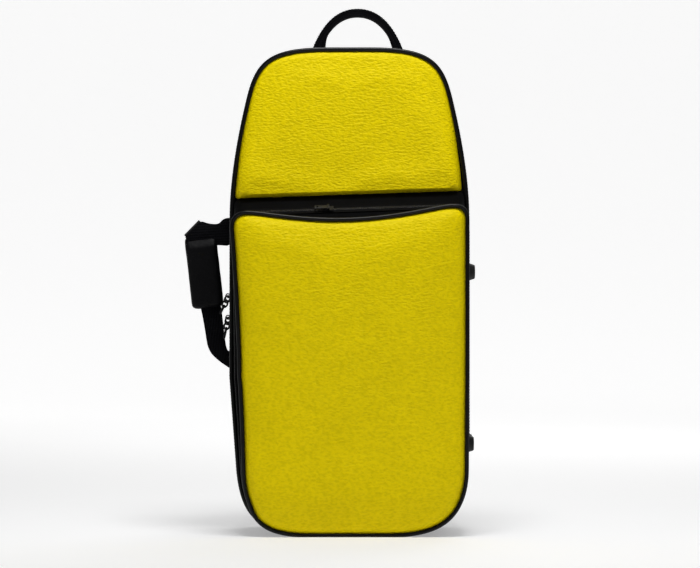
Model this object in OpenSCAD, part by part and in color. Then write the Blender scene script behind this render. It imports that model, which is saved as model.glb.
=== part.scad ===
// Zipped semi-rigid instrument case with a front pocket, standing upright.
// X runs to the case's right, Y from its front to its back, Z up from its base.
// The origin is the middle of the flat base, just behind the zip line.

/* [Outline] */
// Height of the case body
case_h = 650; // [560:5:780]
// Greatest width of the case body
case_w = 320; // [280:5:400]
// Width of the flat middle of the top edge
top_flat_w = 60; // [40:2:90]
// How far the shoulders stand in from the full width
shoulder_in = 23; // [15:1:35]
// Height of the shoulders below the top edge
shoulder_drop = 66; // [50:1:90]
// Height of the full width below the top edge
taper_drop = 230; // [190:5:235]
// Height where the sides start to draw in towards the base
hip_z = 210; // [180:5:212]
// Height where the bottom corners start
corner_z = 90; // [70:2:110]
// How far the handle side has drawn in at the bottom corner
left_in = 9; // [0:1:15]
// How far the hinge side has drawn in at the bottom corner
right_in = 2; // [0:1:4]
// Width of the flat part of the base
base_flat_w = 100; // [70:5:140]

/* [Depth] */
// Depth of the back shell behind the zip line
back_depth = 90; // [80:1:110]
// Depth of the lid at the base
lid_depth_low = 60; // [50:1:80]
// Depth of the lid at the top
lid_depth_top = 38; // [30:1:48]
// Distance of the zip line in front of the origin
part_in = 8; // [4:1:12]
// Thickness of the shell walls
wall = 6; // [4:0.5:9]
// Width of the zip tape between the two shells
zip_gap = 10; // [8:0.5:14]

/* [Lining] */
// Distance of the bed's front face behind the back shell's rim
bed_recess = 8; // [4:1:14]
// Depth of the hollows in the bed
bed_hollow_d = 58; // [40:1:60]
// Radius of the hollow for the bell
bell_r = 62; // [50:1:66]
// Width of the accessory compartment
kit_w = 84; // [60:2:88]
// Height of the accessory compartment
kit_h = 130; // [90:5:135]
// Thickness of the padding inside the lid
lid_pad_t = 8; // [5:1:12]

/* [Trim] */
// Width of the piping round each panel
piping_w = 6; // [4:0.5:8]
// Height of the piping above the face it edges
piping_h = 5; // [3:0.5:6]
// Thickness of the padded upper panel
panel_t = 9; // [6:0.5:12]
// Width of each half of a zip's coil
coil_w = 2.2; // [1.6:0.1:3]
// Height of a zip's coil
coil_h = 1.6; // [1.2:0.1:2]
// Thickness of the zip tape and of sewn patches
tape_t = 1.5; // [1:0.1:2.5]

/* [Pocket] */
// Height of the middle of the pocket's top edge, at its front
pocket_top_z = 420; // [380:2:430]
// Height of the lower edge of the upper panel, in the middle
band_z = 454; // [450:1:475]
// Tilt of the band and zip across the front, in degrees
band_tilt = 1.9; // [0:0.1:3]
// Gap between the case's edge and the pocket's edge
pocket_edge = 4; // [3:0.5:8]
// Radius of the pocket's top corners
pocket_corner_r = 24; // [12:1:30]
// Distance of the pocket's zip in front of the origin
pocket_zip_in = 80; // [78:1:90]
// Depth of the pocket in front of its own zip
pocket_flap_d = 14; // [10:1:20]
// Thickness of the pocket's side walls
gusset_t = 4; // [3:0.5:6]
// How far the padded pocket panel bulges
bulge = 14; // [8:1:20]
// Place of the pocket's slider along its zip
pocket_slider_x = -28; // [-60:2:60]

/* [Hinge and feet] */
// Lower end of the fabric hinge
hinge_low_z = 110; // [100:5:130]
// Upper end of the fabric hinge
hinge_high_z = 410; // [380:5:415]
// Thickness of the hinge strips
strip_t = 1.2; // [0.8:0.1:1.5]
// Width of each hinge strip
strip_w = 18; // [12:1:20]
// Height of a foot above the wall
foot_h = 8; // [5:0.5:12]
// Radius of a foot at the wall
foot_r = 11.5; // [9:0.5:12]
// Radius of a foot at its tip
foot_tip_r = 9; // [7:0.5:10]
// Height of the lower feet
foot_low_z = 120; // [110:2:140]
// Height of the upper feet
foot_high_z = 350; // [300:5:380]
// Distance of the feet from the zip line
foot_out = 30; // [28:1:40]
// Radius of the foot screws
screw_r = 2; // [1.5:0.1:2.5]

/* [Side handle] */
// Width of the webbing of the side handle
strap_w = 33; // [25:1:38]
// Thickness of all webbing
web_t = 3; // [2:0.2:4]
// Length of the wrapped grip
grip_l = 97; // [80:1:100]
// Width of the wrapped grip
grip_w = 41; // [38:1:44]
// Thickness of the wrapped grip
grip_t = 24; // [18:1:28]
// Distance of the side handle behind the zip line
handle_out = 28; // [25:1:40]

/* [Top handle] */
// Height of the top handle above the case
loop_h = 58; // [40:1:66]
// Width of the top handle between its outer edges
loop_w = 126; // [100:2:132]
// Thickness of the top handle
loop_t = 10; // [5:0.5:11]
// Depth of the top handle from front to back
loop_d = 26; // [20:1:35]
// Place of the top handle to the right of the middle
loop_x = 11; // [0:1:15]

/* [Rings and pads on the back] */
// Width of the webbing tabs that hold the rings
tab_w = 24; // [20:1:30]
// Length of the flat part of a tab
tab_l = 26; // [20:1:32]
// Radius of the ring wire
ring_wire_r = 2; // [1.5:0.1:2.5]
// Drop of a ring below its bar
ring_drop = 18; // [14:1:22]
// Thickness of the back pads
pad_t = 9; // [6:1:14]

/* [Hidden] */
$fn = 48;

half_w = case_w / 2;
part_y = -part_in;
back_y = part_y + back_depth;
back_rim_y = part_y + zip_gap / 2;
lid_rim_y = part_y - zip_gap / 2;
soft_gap = 0.3;
seam_gap = 0.1;
past = 1;

// Pocket levels, from its zip to its front
pocket_zip_y = -pocket_zip_in;
pocket_flap_y = pocket_zip_y - pocket_flap_d;
pocket_plate_t = 2;
pocket_plate_y = pocket_flap_y - pocket_plate_t;
pocket_root_y = lid_front(band_z);
pocket_slope = (band_z - pocket_top_z) / (pocket_root_y - pocket_plate_y);
slope_angle = atan(pocket_slope);

// Hinge, handle and ring axes
hinge_x = half_w + strip_t + 0.8;
handle_y = part_y + handle_out;
handle_pin_r = web_t / 2;
handle_axis_x = -(half_w + tape_t + soft_gap + handle_pin_r);
ring_bar_y = back_y + web_t + ring_wire_r + soft_gap;
ring_places = [[-50, case_h - 66], [50, case_h - 66], [-100, 92], [100, 92]];

// Sliders on the main zip
slider_l = 14;
slider_w = 9;
slider_t = 1.6;
pull_l = 22;
pull_w = 8;
pull_t = 1.8;
pin_r = 0.9;
upper_slider_z = 316;
lower_slider_z = 287;

charcoal = "#1d1d1f";
black = "#121214";
yellow = "#ccb60b";
steel = "#9a9ca0";

// Points along a cubic curve, without its last point
function bezier(a, b, c, d, n = 12) = [for (i = [0 : n - 1]) let (t = i / n, u = 1 - t)
    u * u * u * a + 3 * u * u * t * b + 3 * u * t * t * c + t * t * t * d];
function reversed(p) = [for (i = [len(p) - 1 : -1 : 0]) p[i]];
function mirrored(p) = [for (q = p) [-q[0], q[1]]];

// How far a side draws in further over the 70 mm below its corner's start
function corner_lean(low_in) = 70 * low_in / (hip_z - corner_z);

// One side of the case, from the top edge down to the base
function side(low_in) = concat(
    bezier([top_flat_w / 2, case_h], [half_w - 54, case_h],
        [half_w - 35, case_h - 17], [half_w - shoulder_in, case_h - shoulder_drop]),
    bezier([half_w - shoulder_in, case_h - shoulder_drop], [half_w - 9, case_h - 124],
        [half_w, case_h - 180], [half_w, case_h - taper_drop], 10),
    [[half_w, case_h - taper_drop], [half_w, hip_z]],
    bezier([half_w - low_in, corner_z], [half_w - low_in - corner_lean(low_in), corner_z - 70],
        [half_w - 42, 0], [base_flat_w / 2, 0], 14),
    [[base_flat_w / 2, 0]]);

// Outline of the case seen from the front, moved out by grow
module outline(grow = 0)
    offset(delta = grow)
        polygon(concat(side(right_in), reversed(mirrored(side(left_in)))));

// Front-view shape made solid from one depth to another
module slab(y_back, y_front)
    translate([0, y_back, 0]) rotate([90, 0, 0]) linear_extrude(y_back - y_front) children();

// Side-view shape of Y and Z points, made solid across the whole case
module side_prism(points)
    translate([-case_w, 0, 0]) rotate([90, 0, 90]) linear_extrude(2 * case_w) polygon(points);

// The lid's front face leans back towards its top
function lid_front(z) = part_y - lid_depth_low + (lid_depth_low - lid_depth_top) * z / case_h;

// Layer parallel to the lid's front face, between two distances behind it
module lid_layer(behind_1, behind_2, grow = 0)
    intersection() {
        slab(part_y, part_y - lid_depth_low - 40) outline(grow);
        side_prism([
            [lid_front(-20) + behind_1, -20], [lid_front(-20) + behind_2, -20],
            [lid_front(case_h + 20) + behind_2, case_h + 20],
            [lid_front(case_h + 20) + behind_1, case_h + 20]]);
    }

// Everything of the lid in front of its rim, drawn in by inset on all walls
module lid_block(inset, y_back)
    intersection() {
        slab(y_back, part_y - lid_depth_low - 20) outline(-inset);
        side_prism([
            [lid_front(-20) + inset, -20], [y_back, -20],
            [y_back, case_h + 20], [lid_front(case_h + 20) + inset, case_h + 20]]);
    }

// Half plane below a line tilted across the front, at height z in the middle
module below(z)
    translate([0, z]) rotate(band_tilt) translate([-case_w, -2 * case_h]) square([2 * case_w, 2 * case_h]);

// Height of the pocket's sloping top, in the middle, at depth y
function pocket_z(y) = pocket_top_z + pocket_slope * (y - pocket_plate_y);

// Pocket's front seen from the front, with its top corners rounded
module pocket_outline(grow = 0)
    offset(delta = grow)
        offset(r = pocket_corner_r, $fn = 32) offset(delta = -pocket_corner_r)
            intersection() {
                outline(-pocket_edge);
                below(pocket_top_z);
            }

// Pocket as a solid between two depths, drawn in by inset, with its top sloping forwards and down
module pocket_block(inset, y_back, y_front) {
    drop = inset / cos(slope_angle);
    intersection() {
        slab(y_back, y_front) outline(-pocket_edge - inset);
        rotate([0, -band_tilt, 0]) side_prism([
            [y_back + past, -case_h], [y_back + past, pocket_z(y_back + past) - drop],
            [y_front - past, pocket_z(y_front - past) - drop], [y_front - past, -case_h]]);
    }
}

// Hole or shaft through a foot and the wall behind it, along X
module foot_axis(z, y, r)
    translate([half_w - wall - past, y, z]) rotate([0, 90, 0]) cylinder(h = wall + foot_h + 2 * past, r = r);

foot_zs = [foot_low_z, foot_high_z];
// The wall's place beside a foot, where the hinge side has drawn in
function foot_x(z) = half_w - right_in * max(0, hip_z - (z + foot_r)) / (hip_z - corner_z);

module foot_holes(y)
    for (z = foot_zs) foot_axis(z, y, screw_r + 0.2);

// ---------- Back shell and what is fixed to it ----------

module back_shell()
    color(charcoal) difference() {
        slab(back_y, back_rim_y) outline();
        slab(back_y - wall, back_rim_y - past) outline(-wall);
        foot_holes(part_y + foot_out);
    }

// Hollow for the instrument's body, bow and bell, seen from the front
module instrument_hollow() {
    hull() {
        translate([-55, 92]) circle(46);
        translate([-20, case_h - 90]) circle(30);
    }
    hull() {
        translate([-55, 92]) circle(46);
        translate([38, 98]) circle(46);
    }
    hull() {
        translate([38, 98]) circle(46);
        translate([56, 300]) circle(bell_r);
    }
}

bed_front_y = back_rim_y + bed_recess;
kit_x = 34;
kit_z = 400;
module instrument_bed()
    color("#2a2a2e") difference() {
        slab(back_y - wall, bed_front_y) outline(-wall);
        slab(bed_front_y + bed_hollow_d, bed_front_y - past) instrument_hollow();
        slab(bed_front_y + bed_hollow_d, bed_front_y - past)
            translate([kit_x, kit_z]) offset(r = 8) offset(delta = -8) square([kit_w, kit_h]);
    }

module back_piping()
    color(black) slab(back_y + piping_h, back_y) difference() {
        outline();
        outline(-piping_w);
    }

// Padded cushion on the back face, between two heights
module back_pad(width, z_low, z_high)
    color(charcoal) hull() {
        slab(back_y + 0.6 * pad_t, back_y) pad_outline(width, z_low, z_high, 0);
        slab(back_y + pad_t, back_y) pad_outline(width, z_low, z_high, -12);
    }
module pad_outline(width, z_low, z_high, grow)
    offset(delta = grow) offset(r = 20, $fn = 24) offset(delta = -20)
        translate([-width / 2, z_low]) square([width, z_high - z_low]);
module back_pad_upper() back_pad(150, case_h - 260, case_h - 112);
module back_pad_lower() back_pad(190, 125, 300);

module zip_ring(y_back, y_front, outer, inner)
    slab(y_back, y_front) difference() {
        outline(outer);
        outline(inner);
    }

// Region beside the hinge, where no coil runs
module hinge_zone(grow)
    translate([0, -case_w, hinge_low_z - grow])
        cube([case_w, 2 * case_w, hinge_high_z - hinge_low_z + 2 * grow]);

module zip_tape_back() color(charcoal) zip_ring(back_rim_y, part_y + seam_gap, -coil_h, -coil_h - tape_t);
module zip_tape_lid() color(charcoal) zip_ring(part_y - seam_gap, lid_rim_y, -coil_h, -coil_h - tape_t);

module zip_teeth_back()
    color(black) difference() {
        zip_ring(part_y + seam_gap + coil_w, part_y + seam_gap, 0, -coil_h);
        hinge_zone(2);
    }
module zip_teeth_lid()
    color(black) difference() {
        zip_ring(part_y - seam_gap, part_y - seam_gap - coil_w, 0, -coil_h);
        hinge_zone(2);
    }

module hinge_strip_back()
    color(charcoal) intersection() {
        zip_ring(part_y + strip_w, part_y + seam_gap, strip_t, 0);
        hinge_zone(0);
    }
module hinge_strip_lid()
    color(charcoal) intersection() {
        zip_ring(part_y - seam_gap, part_y - strip_w, strip_t, 0);
        hinge_zone(0);
    }

module foot_pair(y)
    color(black) for (z = foot_zs) difference() {
        translate([foot_x(z), y, z]) rotate([0, 90, 0]) cylinder(h = foot_h, r1 = foot_r, r2 = foot_tip_r);
        foot_axis(z, y, screw_r + 0.2);
        translate([foot_x(z) + foot_h - 3, y, z]) rotate([0, 90, 0])
            cylinder(h = 3 + past, r = screw_r + 2.2);
    }
module screw_pair(y)
    color(steel) for (z = foot_zs) {
        translate([foot_x(z) - wall + 1, y, z]) rotate([0, 90, 0])
            cylinder(h = wall - 1 + foot_h - 3, r = screw_r);
        translate([foot_x(z) + foot_h - 3, y, z]) rotate([0, 90, 0]) cylinder(h = 1.8, r = screw_r + 2);
    }
module feet_back() foot_pair(part_y + foot_out);
module feet_lid() foot_pair(part_y - foot_out);
module foot_screws_back() screw_pair(part_y + foot_out);
module foot_screws_lid() screw_pair(part_y - foot_out);

// ---------- Top handle ----------

loop_y = part_y + back_depth / 2;
// One half of an arch of the given half width and height
function arch_side(half, top) = bezier([-half, 0], [-0.8 * half, 0.55 * top], [-0.52 * half, top], [0, top]);
function arch(half, top) = concat(arch_side(half, top), [[0, top]], reversed(mirrored(arch_side(half, top))));

module top_handle()
    color(black) difference() {
        translate([loop_x, 0, case_h]) slab(loop_y + loop_d / 2, loop_y - loop_d / 2) difference() {
            translate([0, -6]) polygon(arch(loop_w / 2 + 2, loop_h + 6));
            translate([0, -6]) polygon(arch(loop_w / 2 + 2 - loop_t, loop_h + 6 - loop_t));
        }
        slab(back_y, part_y) outline(tape_t);
    }

module top_handle_tabs()
    color(black) for (s = [-1, 1]) intersection() {
        slab(loop_y + loop_d / 2 + 3, loop_y - loop_d / 2 - 3) difference() {
            outline(tape_t);
            outline();
        }
        translate([loop_x + s * (loop_w / 2 - loop_t / 2) - 12, 0, case_h - 20]) cube([24, back_depth, 40]);
    }

// ---------- Side handle ----------

// The strap leaves the wall at strap_high_z, folds down through the grip and returns at strap_low_z
strap_high_z = 418.5;
strap_low_z = 213.5;
strap_out = 60;
strap_in = handle_axis_x;
module strap_outline()
    polygon([
        [strap_in, strap_high_z], [strap_in - 39, strap_high_z], [strap_in - strap_out, strap_high_z - 20],
        [strap_in - strap_out + 8, strap_low_z + 86], [strap_in - 33, strap_low_z + 46],
        [strap_in - 21, strap_low_z + 12], [strap_in, strap_low_z],
        [strap_in, strap_low_z + strap_w], [strap_in - 3, strap_low_z + strap_w + 6],
        [strap_in - strap_out + 34, strap_low_z + 86],
        [strap_in - strap_out + strap_w - 4, strap_high_z - strap_w],
        [strap_in, strap_high_z - strap_w]]);
module strap_solid(extra = 0) {
    slab(handle_y + web_t / 2 + extra, handle_y - web_t / 2 - extra) offset(delta = extra) strap_outline();
    for (z = [strap_low_z, strap_high_z - strap_w])
        translate([handle_axis_x, handle_y, z]) cylinder(h = strap_w, r = handle_pin_r);
}
module side_handle_strap() color(black) strap_solid();

grip_lean = 5.3;
grip_x = strap_in - 35;
grip_z = 300;
module side_handle_grip()
    color(charcoal) difference() {
        translate([grip_x + 4, handle_y, grip_z]) rotate([0, -grip_lean, 0]) translate([0, 0, -3])
            linear_extrude(grip_l) offset(r = grip_t / 2 - 2) square([grip_w - grip_t + 4, 4], center = true);
        strap_solid(seam_gap);
    }

module side_handle_tabs()
    color(black) for (z = [strap_low_z, strap_high_z - strap_w]) intersection() {
        slab(handle_y + 14, handle_y - 14) difference() {
            outline(tape_t);
            outline();
        }
        translate([-case_w, 0, z]) cube([case_w, back_depth, strap_w]);
    }

// ---------- Rings on the back ----------

module ring_tabs()
    color(black) for (p = ring_places) difference() {
        union() {
            translate([p[0] - tab_w / 2, back_y, p[1]]) cube([tab_w, web_t, tab_l]);
            translate([p[0] - tab_w / 2, ring_bar_y, p[1]]) rotate([0, 90, 0])
                cylinder(h = tab_w, r = ring_bar_y - back_y);
        }
        translate([p[0] - tab_w / 2 - past, ring_bar_y, p[1]]) rotate([0, 90, 0])
            cylinder(h = tab_w + 2 * past, r = ring_wire_r + 0.08);
    }

// Ring that hangs from its bar: a straight bar and a round bow below it
ring_half = tab_w / 2 + ring_wire_r + 1;
module ring(p)
    color(steel) translate([p[0], ring_bar_y, p[1]]) {
        translate([-ring_half, 0, 0]) rotate([0, 90, 0]) cylinder(h = 2 * ring_half, r = ring_wire_r);
        for (s = [-1, 1]) {
            translate([s * ring_half, 0, 0]) sphere(ring_wire_r);
            translate([s * ring_half, 0, ring_half - ring_drop]) cylinder(h = ring_drop - ring_half, r = ring_wire_r);
        }
        translate([0, 0, ring_half - ring_drop]) rotate([90, 0, 0]) rotate(180)
            rotate_extrude(angle = 180) translate([ring_half, 0]) circle(ring_wire_r, $fn = 32);
    }
module ring_upper_left() ring(ring_places[0]);
module ring_upper_right() ring(ring_places[1]);
module ring_lower_left() ring(ring_places[2]);
module ring_lower_right() ring(ring_places[3]);

// ---------- Lid ----------

module lid_shell()
    color(charcoal) difference() {
        lid_block(0, lid_rim_y);
        lid_block(wall, lid_rim_y + past);
        foot_holes(part_y - foot_out);
    }

module lid_padding() color("#2a2a2e") lid_layer(wall, wall + lid_pad_t, -wall);

module lid_piping()
    color(black) difference() {
        lid_layer(-piping_h, 0);
        lid_layer(-piping_h - past, past, -piping_w);
        pocket_block(-soft_gap, pocket_root_y + 20, pocket_flap_y);
    }

module upper_panel()
    color(yellow) difference() {
        lid_layer(-panel_t, 0, -piping_w - seam_gap);
        slab(0, -case_w) below(band_z + seam_gap);
        pocket_block(-seam_gap, pocket_root_y + 10, pocket_flap_y);
    }

// ---------- Pocket ----------

module pocket_gusset()
    color(black) difference() {
        pocket_block(0, pocket_root_y + 10, pocket_zip_y + seam_gap);
        pocket_block(gusset_t, pocket_root_y + 10 + past, pocket_zip_y - past);
        lid_block(0, part_y);
    }

module pocket_flap_gusset()
    color(black) difference() {
        pocket_block(0, pocket_zip_y - seam_gap, pocket_flap_y);
        pocket_block(gusset_t, pocket_zip_y + past, pocket_flap_y - past);
    }

// Coil laid on the outside of the pocket's walls, from near the base up and over the top
module pocket_coil(y_back, y_front)
    color(steel) difference() {
        pocket_block(-coil_h, y_back, y_front);
        pocket_block(0, y_back + past, y_front - past);
        translate([-case_w, -case_w, -past]) cube([2 * case_w, 2 * case_w, corner_z + past]);
    }
module pocket_teeth_lid() pocket_coil(pocket_zip_y + seam_gap + coil_w, pocket_zip_y + seam_gap);
module pocket_teeth_flap() pocket_coil(pocket_zip_y - seam_gap, pocket_zip_y - seam_gap - coil_w);

module pocket_panel()
    color(yellow) {
        pocket_block(0, pocket_flap_y, pocket_plate_y);
        hull() {
            slab(pocket_plate_y, pocket_plate_y - 3) pocket_outline(-piping_w - seam_gap);
            slab(pocket_plate_y, pocket_plate_y - bulge) pocket_outline(-70);
        }
    }

module pocket_piping()
    color(black) slab(pocket_plate_y, pocket_plate_y - piping_h) difference() {
        pocket_outline();
        pocket_outline(-piping_w);
    }

// ---------- Sliders and pulls ----------

// Slider that rides over a coil: local X is across the zip, Z away from it, Y along it.
// Only its +X side wraps round the coil, because the other half of the coil moves away.
module slider(coil = coil_w) {
    translate([-slider_w / 2, -slider_l / 2, coil_h + soft_gap]) cube([slider_w, slider_l, slider_t]);
    translate([coil + seam_gap + soft_gap, -slider_l / 2, soft_gap])
        cube([slider_w / 2 - coil - seam_gap - soft_gap, slider_l, coil_h + slider_t]);
    for (s = [-1, 1])
        translate([s * pull_w / 2 - 0.6, -1.6, coil_h + soft_gap]) cube([1.2, 3.2, slider_t + 2 * pin_r + 1.2]);
    translate([-pull_w / 2, 0, pin_level]) rotate([0, 90, 0]) cylinder(h = pull_w, r = pin_r);
}
pin_level = coil_h + soft_gap + slider_t + pin_r + 0.7;

// Pull that hangs from the slider's pin along local -Y
module pull(length) {
    eye_w = pull_w - 1.2 - 2 * soft_gap;
    difference() {
        union() {
            translate([-eye_w / 2, 0, pin_level]) rotate([0, 90, 0]) cylinder(h = eye_w, r = pin_r + 0.65);
            translate([-eye_w / 2, -length, pin_level - pull_t / 2]) cube([eye_w, length, pull_t]);
        }
        translate([-pull_w, 0, pin_level]) rotate([0, 90, 0]) cylinder(h = 2 * pull_w, r = pin_r + 0.06);
        translate([0, -length + 3.5, 0]) cylinder(h = 4 * pin_level, r = 1.6);
    }
}

// Puts a slider's local frame on the left wall: Z outwards, Y up, X towards the back
module on_left_wall(z)
    translate([coil_h - half_w, part_y, z]) rotate([90, 0, -90]) mirror([1, 0, 0]) children();
module zip_slider_upper() color(steel) on_left_wall(upper_slider_z) slider();
module zip_slider_lower() color(steel) on_left_wall(lower_slider_z) slider();
module zip_pull_upper() color(black) on_left_wall(upper_slider_z) pull(pull_l);
module zip_pull_lower() color(black) on_left_wall(lower_slider_z) pull(pull_l);

// Puts a slider's local frame on the pocket's sloping top: Z outwards, Y along the zip
module on_pocket_top(x)
    translate([0, pocket_zip_y, pocket_z(pocket_zip_y)]) rotate([0, -band_tilt, 0])
        translate([x, 0, 0]) rotate([slope_angle, 0, 0]) children();
// The pocket's coil is cut upright, so it is wider along the slope
module pocket_slider()
    color(steel) on_pocket_top(pocket_slider_x) rotate(-90) slider((coil_w + seam_gap) / cos(slope_angle));
module pocket_pull() color(black) on_pocket_top(pocket_slider_x) rotate(-90) pull(pull_l - 4);

back_shell();
instrument_bed();
back_piping();
back_pad_upper();
back_pad_lower();
zip_tape_back();
zip_teeth_back();
hinge_strip_back();
feet_back();
foot_screws_back();
top_handle();
top_handle_tabs();
side_handle_tabs();
ring_tabs();
lid_shell();
lid_padding();
lid_piping();
upper_panel();
zip_tape_lid();
zip_teeth_lid();
hinge_strip_lid();
feet_lid();
foot_screws_lid();
pocket_gusset();
pocket_teeth_lid();
pocket_panel();
pocket_piping();
pocket_flap_gusset();
pocket_teeth_flap();
zip_slider_upper();
zip_slider_lower();
zip_pull_upper();
zip_pull_lower();
pocket_slider();
pocket_pull();
side_handle_strap();
side_handle_grip();
ring_upper_left();
ring_upper_right();
ring_lower_left();
ring_lower_right();
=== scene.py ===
"""Looks of a zipped instrument case with a front pocket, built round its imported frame."""
import math

import bmesh
import bpy
from bpy.props import FloatProperty, PointerProperty, StringProperty
from mathutils import Matrix, Vector, noise
from mathutils.kdtree import KDTree


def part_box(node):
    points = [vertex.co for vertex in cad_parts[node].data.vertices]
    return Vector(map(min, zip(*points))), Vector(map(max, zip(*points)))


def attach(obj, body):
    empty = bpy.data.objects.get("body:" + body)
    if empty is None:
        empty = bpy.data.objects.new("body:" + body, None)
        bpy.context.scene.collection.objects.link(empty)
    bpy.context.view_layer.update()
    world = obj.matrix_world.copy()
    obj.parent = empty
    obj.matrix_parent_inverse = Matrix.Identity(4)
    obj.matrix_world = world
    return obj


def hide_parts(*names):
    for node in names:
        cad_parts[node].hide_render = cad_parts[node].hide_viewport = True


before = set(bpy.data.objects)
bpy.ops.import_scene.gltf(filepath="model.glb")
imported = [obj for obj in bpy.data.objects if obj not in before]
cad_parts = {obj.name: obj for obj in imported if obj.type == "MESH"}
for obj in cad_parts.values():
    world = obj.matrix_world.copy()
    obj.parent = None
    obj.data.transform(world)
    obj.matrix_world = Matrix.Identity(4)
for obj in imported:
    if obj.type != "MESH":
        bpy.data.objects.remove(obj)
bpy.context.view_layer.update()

bl_info = {
    "name": "Instrument case",
    "version": (1, 0, 0),
    "blender": (4, 5, 0),
    "location": "View3D > Sidebar > Case",
    "description": "Builds the panels, piping, zips, handles and lining of a zipped case",
    "category": "Object",
}

MM = 0.001
BACK, LID, FLAP, HANDLE = "back", "lid", "pocket_flap", "side_handle"
ALONG_X, ALONG_Y, ALONG_Z = Vector((1, 0, 0)), Vector((0, 1, 0)), Vector((0, 0, 1))

# Places taken from the frame
SHELL_LOW, SHELL_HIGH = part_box("back_shell")
LID_LOW, LID_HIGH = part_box("lid_shell")
CASE_H = SHELL_HIGH.z
HALF_W = SHELL_HIGH.x
BACK_Y = SHELL_HIGH.y
BACK_RIM = SHELL_LOW.y
LID_RIM = LID_HIGH.y
PART_Y = (BACK_RIM + LID_RIM) / 2
LID_FRONT_LOW = LID_LOW.y
LID_FRONT_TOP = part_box("lid_padding")[1].y - 14 * MM
BAND_Z = 454 * MM

# Skins and trims, in metres
GUSSET_CLOTH = 1.4 * MM
ZIP_CLOTH = 0.9 * MM
COIL_TURN = 0.95 * MM
STITCH = 0.42 * MM


# ---------- Sizes and colours a user may change ----------

class CaseSizes(bpy.types.PropertyGroup):
    """Sizes of the soft parts and trim"""
    piping_radius: FloatProperty(name="Piping radius", unit="LENGTH", default=3.0 * MM,
                                 description="Radius of the round piping")
    upper_crown: FloatProperty(name="Upper panel crown", unit="LENGTH", default=10 * MM,
                               description="Height of the upper panel's padding")
    pocket_crown: FloatProperty(name="Pocket crown", unit="LENGTH", default=21 * MM,
                                description="Height of the pocket panel's bulge")
    tooth_pitch: FloatProperty(name="Coil pitch", unit="LENGTH", default=2.6 * MM,
                               description="Distance between turns of a zip's coil")
    stitch_pitch: FloatProperty(name="Stitch pitch", unit="LENGTH", default=4.2 * MM,
                                description="Distance between sewn stitches")
    pad_crown: FloatProperty(name="Back pad crown", unit="LENGTH", default=9 * MM,
                             description="Height of the pads on the back")


class CaseColours(bpy.types.PropertyGroup):
    """Colours of the case, as sRGB hex values"""
    panel: StringProperty(name="Panels", default="#F0D800", description="Faux leather of both panels")
    black: StringProperty(name="Black cloth", default="#070708", description="Woven cloth of the walls")
    vinyl: StringProperty(name="Piping", default="#060607", description="Vinyl of the piping")
    webbing: StringProperty(name="Webbing", default="#08080A", description="Yarn of handles and tabs")
    plush: StringProperty(name="Plush", default="#2B2C31", description="Lining of the inside")
    floor: StringProperty(name="Floor", default="#D6D6D6", description="Studio floor and backdrop")


# ---------- Materials ----------

def linear(hex_colour):
    """An sRGB hex colour as linear RGBA."""
    parts = [int(hex_colour[i:i + 2], 16) / 255 for i in (1, 3, 5)]
    return tuple(c / 12.92 if c <= 0.04045 else ((c + 0.055) / 1.055) ** 2.4 for c in parts) + (1.0,)


def add(tree, kind, inputs=None, **settings):
    """Adds a node with its settings, and its inputs as values or links from other nodes' sockets."""
    made = tree.nodes.new("ShaderNode" + kind)
    for name, value in settings.items():
        setattr(made, name, value)
    for name, value in (inputs or {}).items():
        socket = made.inputs[name]
        if isinstance(value, bpy.types.NodeSocket):
            tree.links.new(value, socket)
        else:
            socket.default_value = value
    return made


def new_material(name, roughness, metallic=0.0, specular=0.5, **sockets):
    """An empty material with a Principled shader whose plain numbers are set on its own sockets."""
    material = bpy.data.materials.new(name)
    material.use_nodes = True
    tree = material.node_tree
    shader = tree.nodes["Principled BSDF"]
    shader.inputs["Roughness"].default_value = roughness
    shader.inputs["Metallic"].default_value = metallic
    shader.inputs["Specular IOR Level"].default_value = specular
    for socket, value in sockets.items():
        shader.inputs[socket.replace("_", " ")].default_value = value
    return material, tree, shader


def dye(tree, shader, vector, dark, light, scale, detail=3.0):
    """Cloudy colour between two shades of one dye."""
    cloud = add(tree, "TexNoise", {"Vector": vector, "Scale": scale, "Detail": detail})
    ramp = add(tree, "ValToRGB", {"Fac": cloud.outputs["Fac"]})
    ramp.color_ramp.elements[0].position = 0.3
    ramp.color_ramp.elements[0].color = linear(dark)
    ramp.color_ramp.elements[1].position = 0.7
    ramp.color_ramp.elements[1].color = linear(light)
    tree.links.new(ramp.outputs["Color"], shader.inputs["Base Color"])
    return ramp


def emboss(tree, shader, height, strength, distance, under=None):
    """Raises the surface by a height pattern, over another pattern if one is given."""
    inputs = {"Height": height, "Strength": strength, "Distance": distance}
    if under is not None:
        inputs["Normal"] = under
    bump = add(tree, "Bump", inputs)
    tree.links.new(bump.outputs["Normal"], shader.inputs["Normal"])
    return bump.outputs["Normal"]


def paint_relief_shading(tree, shader, cloud, level, darkest, lightest, **span):
    """Multiplies a dye by a pattern as painted light: painted shade in its hollows, and a painted highlight
    on its ridges where lightest is above 1.
    """
    inputs = {"Value": level, "To Min": darkest, "To Max": lightest}
    inputs.update({name.replace("_", " "): value for name, value in span.items()})
    depth = add(tree, "MapRange", inputs)
    mixed = add(tree, "Mix", {"Factor": 1.0}, data_type="RGBA", blend_type="MULTIPLY")
    # A colour mix has its own sockets, after those for numbers and vectors
    tree.links.new(cloud.outputs["Color"], mixed.inputs[6])
    tree.links.new(depth.outputs["Result"], mixed.inputs[7])
    tree.links.new(mixed.outputs[2], shader.inputs["Base Color"])


def shade(hex_colour, factor):
    """A hex colour made lighter or darker by a factor."""
    parts = [min(255, round(int(hex_colour[i:i + 2], 16) * factor)) for i in (1, 3, 5)]
    return "#" + "".join(f"{c:02X}" for c in parts)


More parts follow.
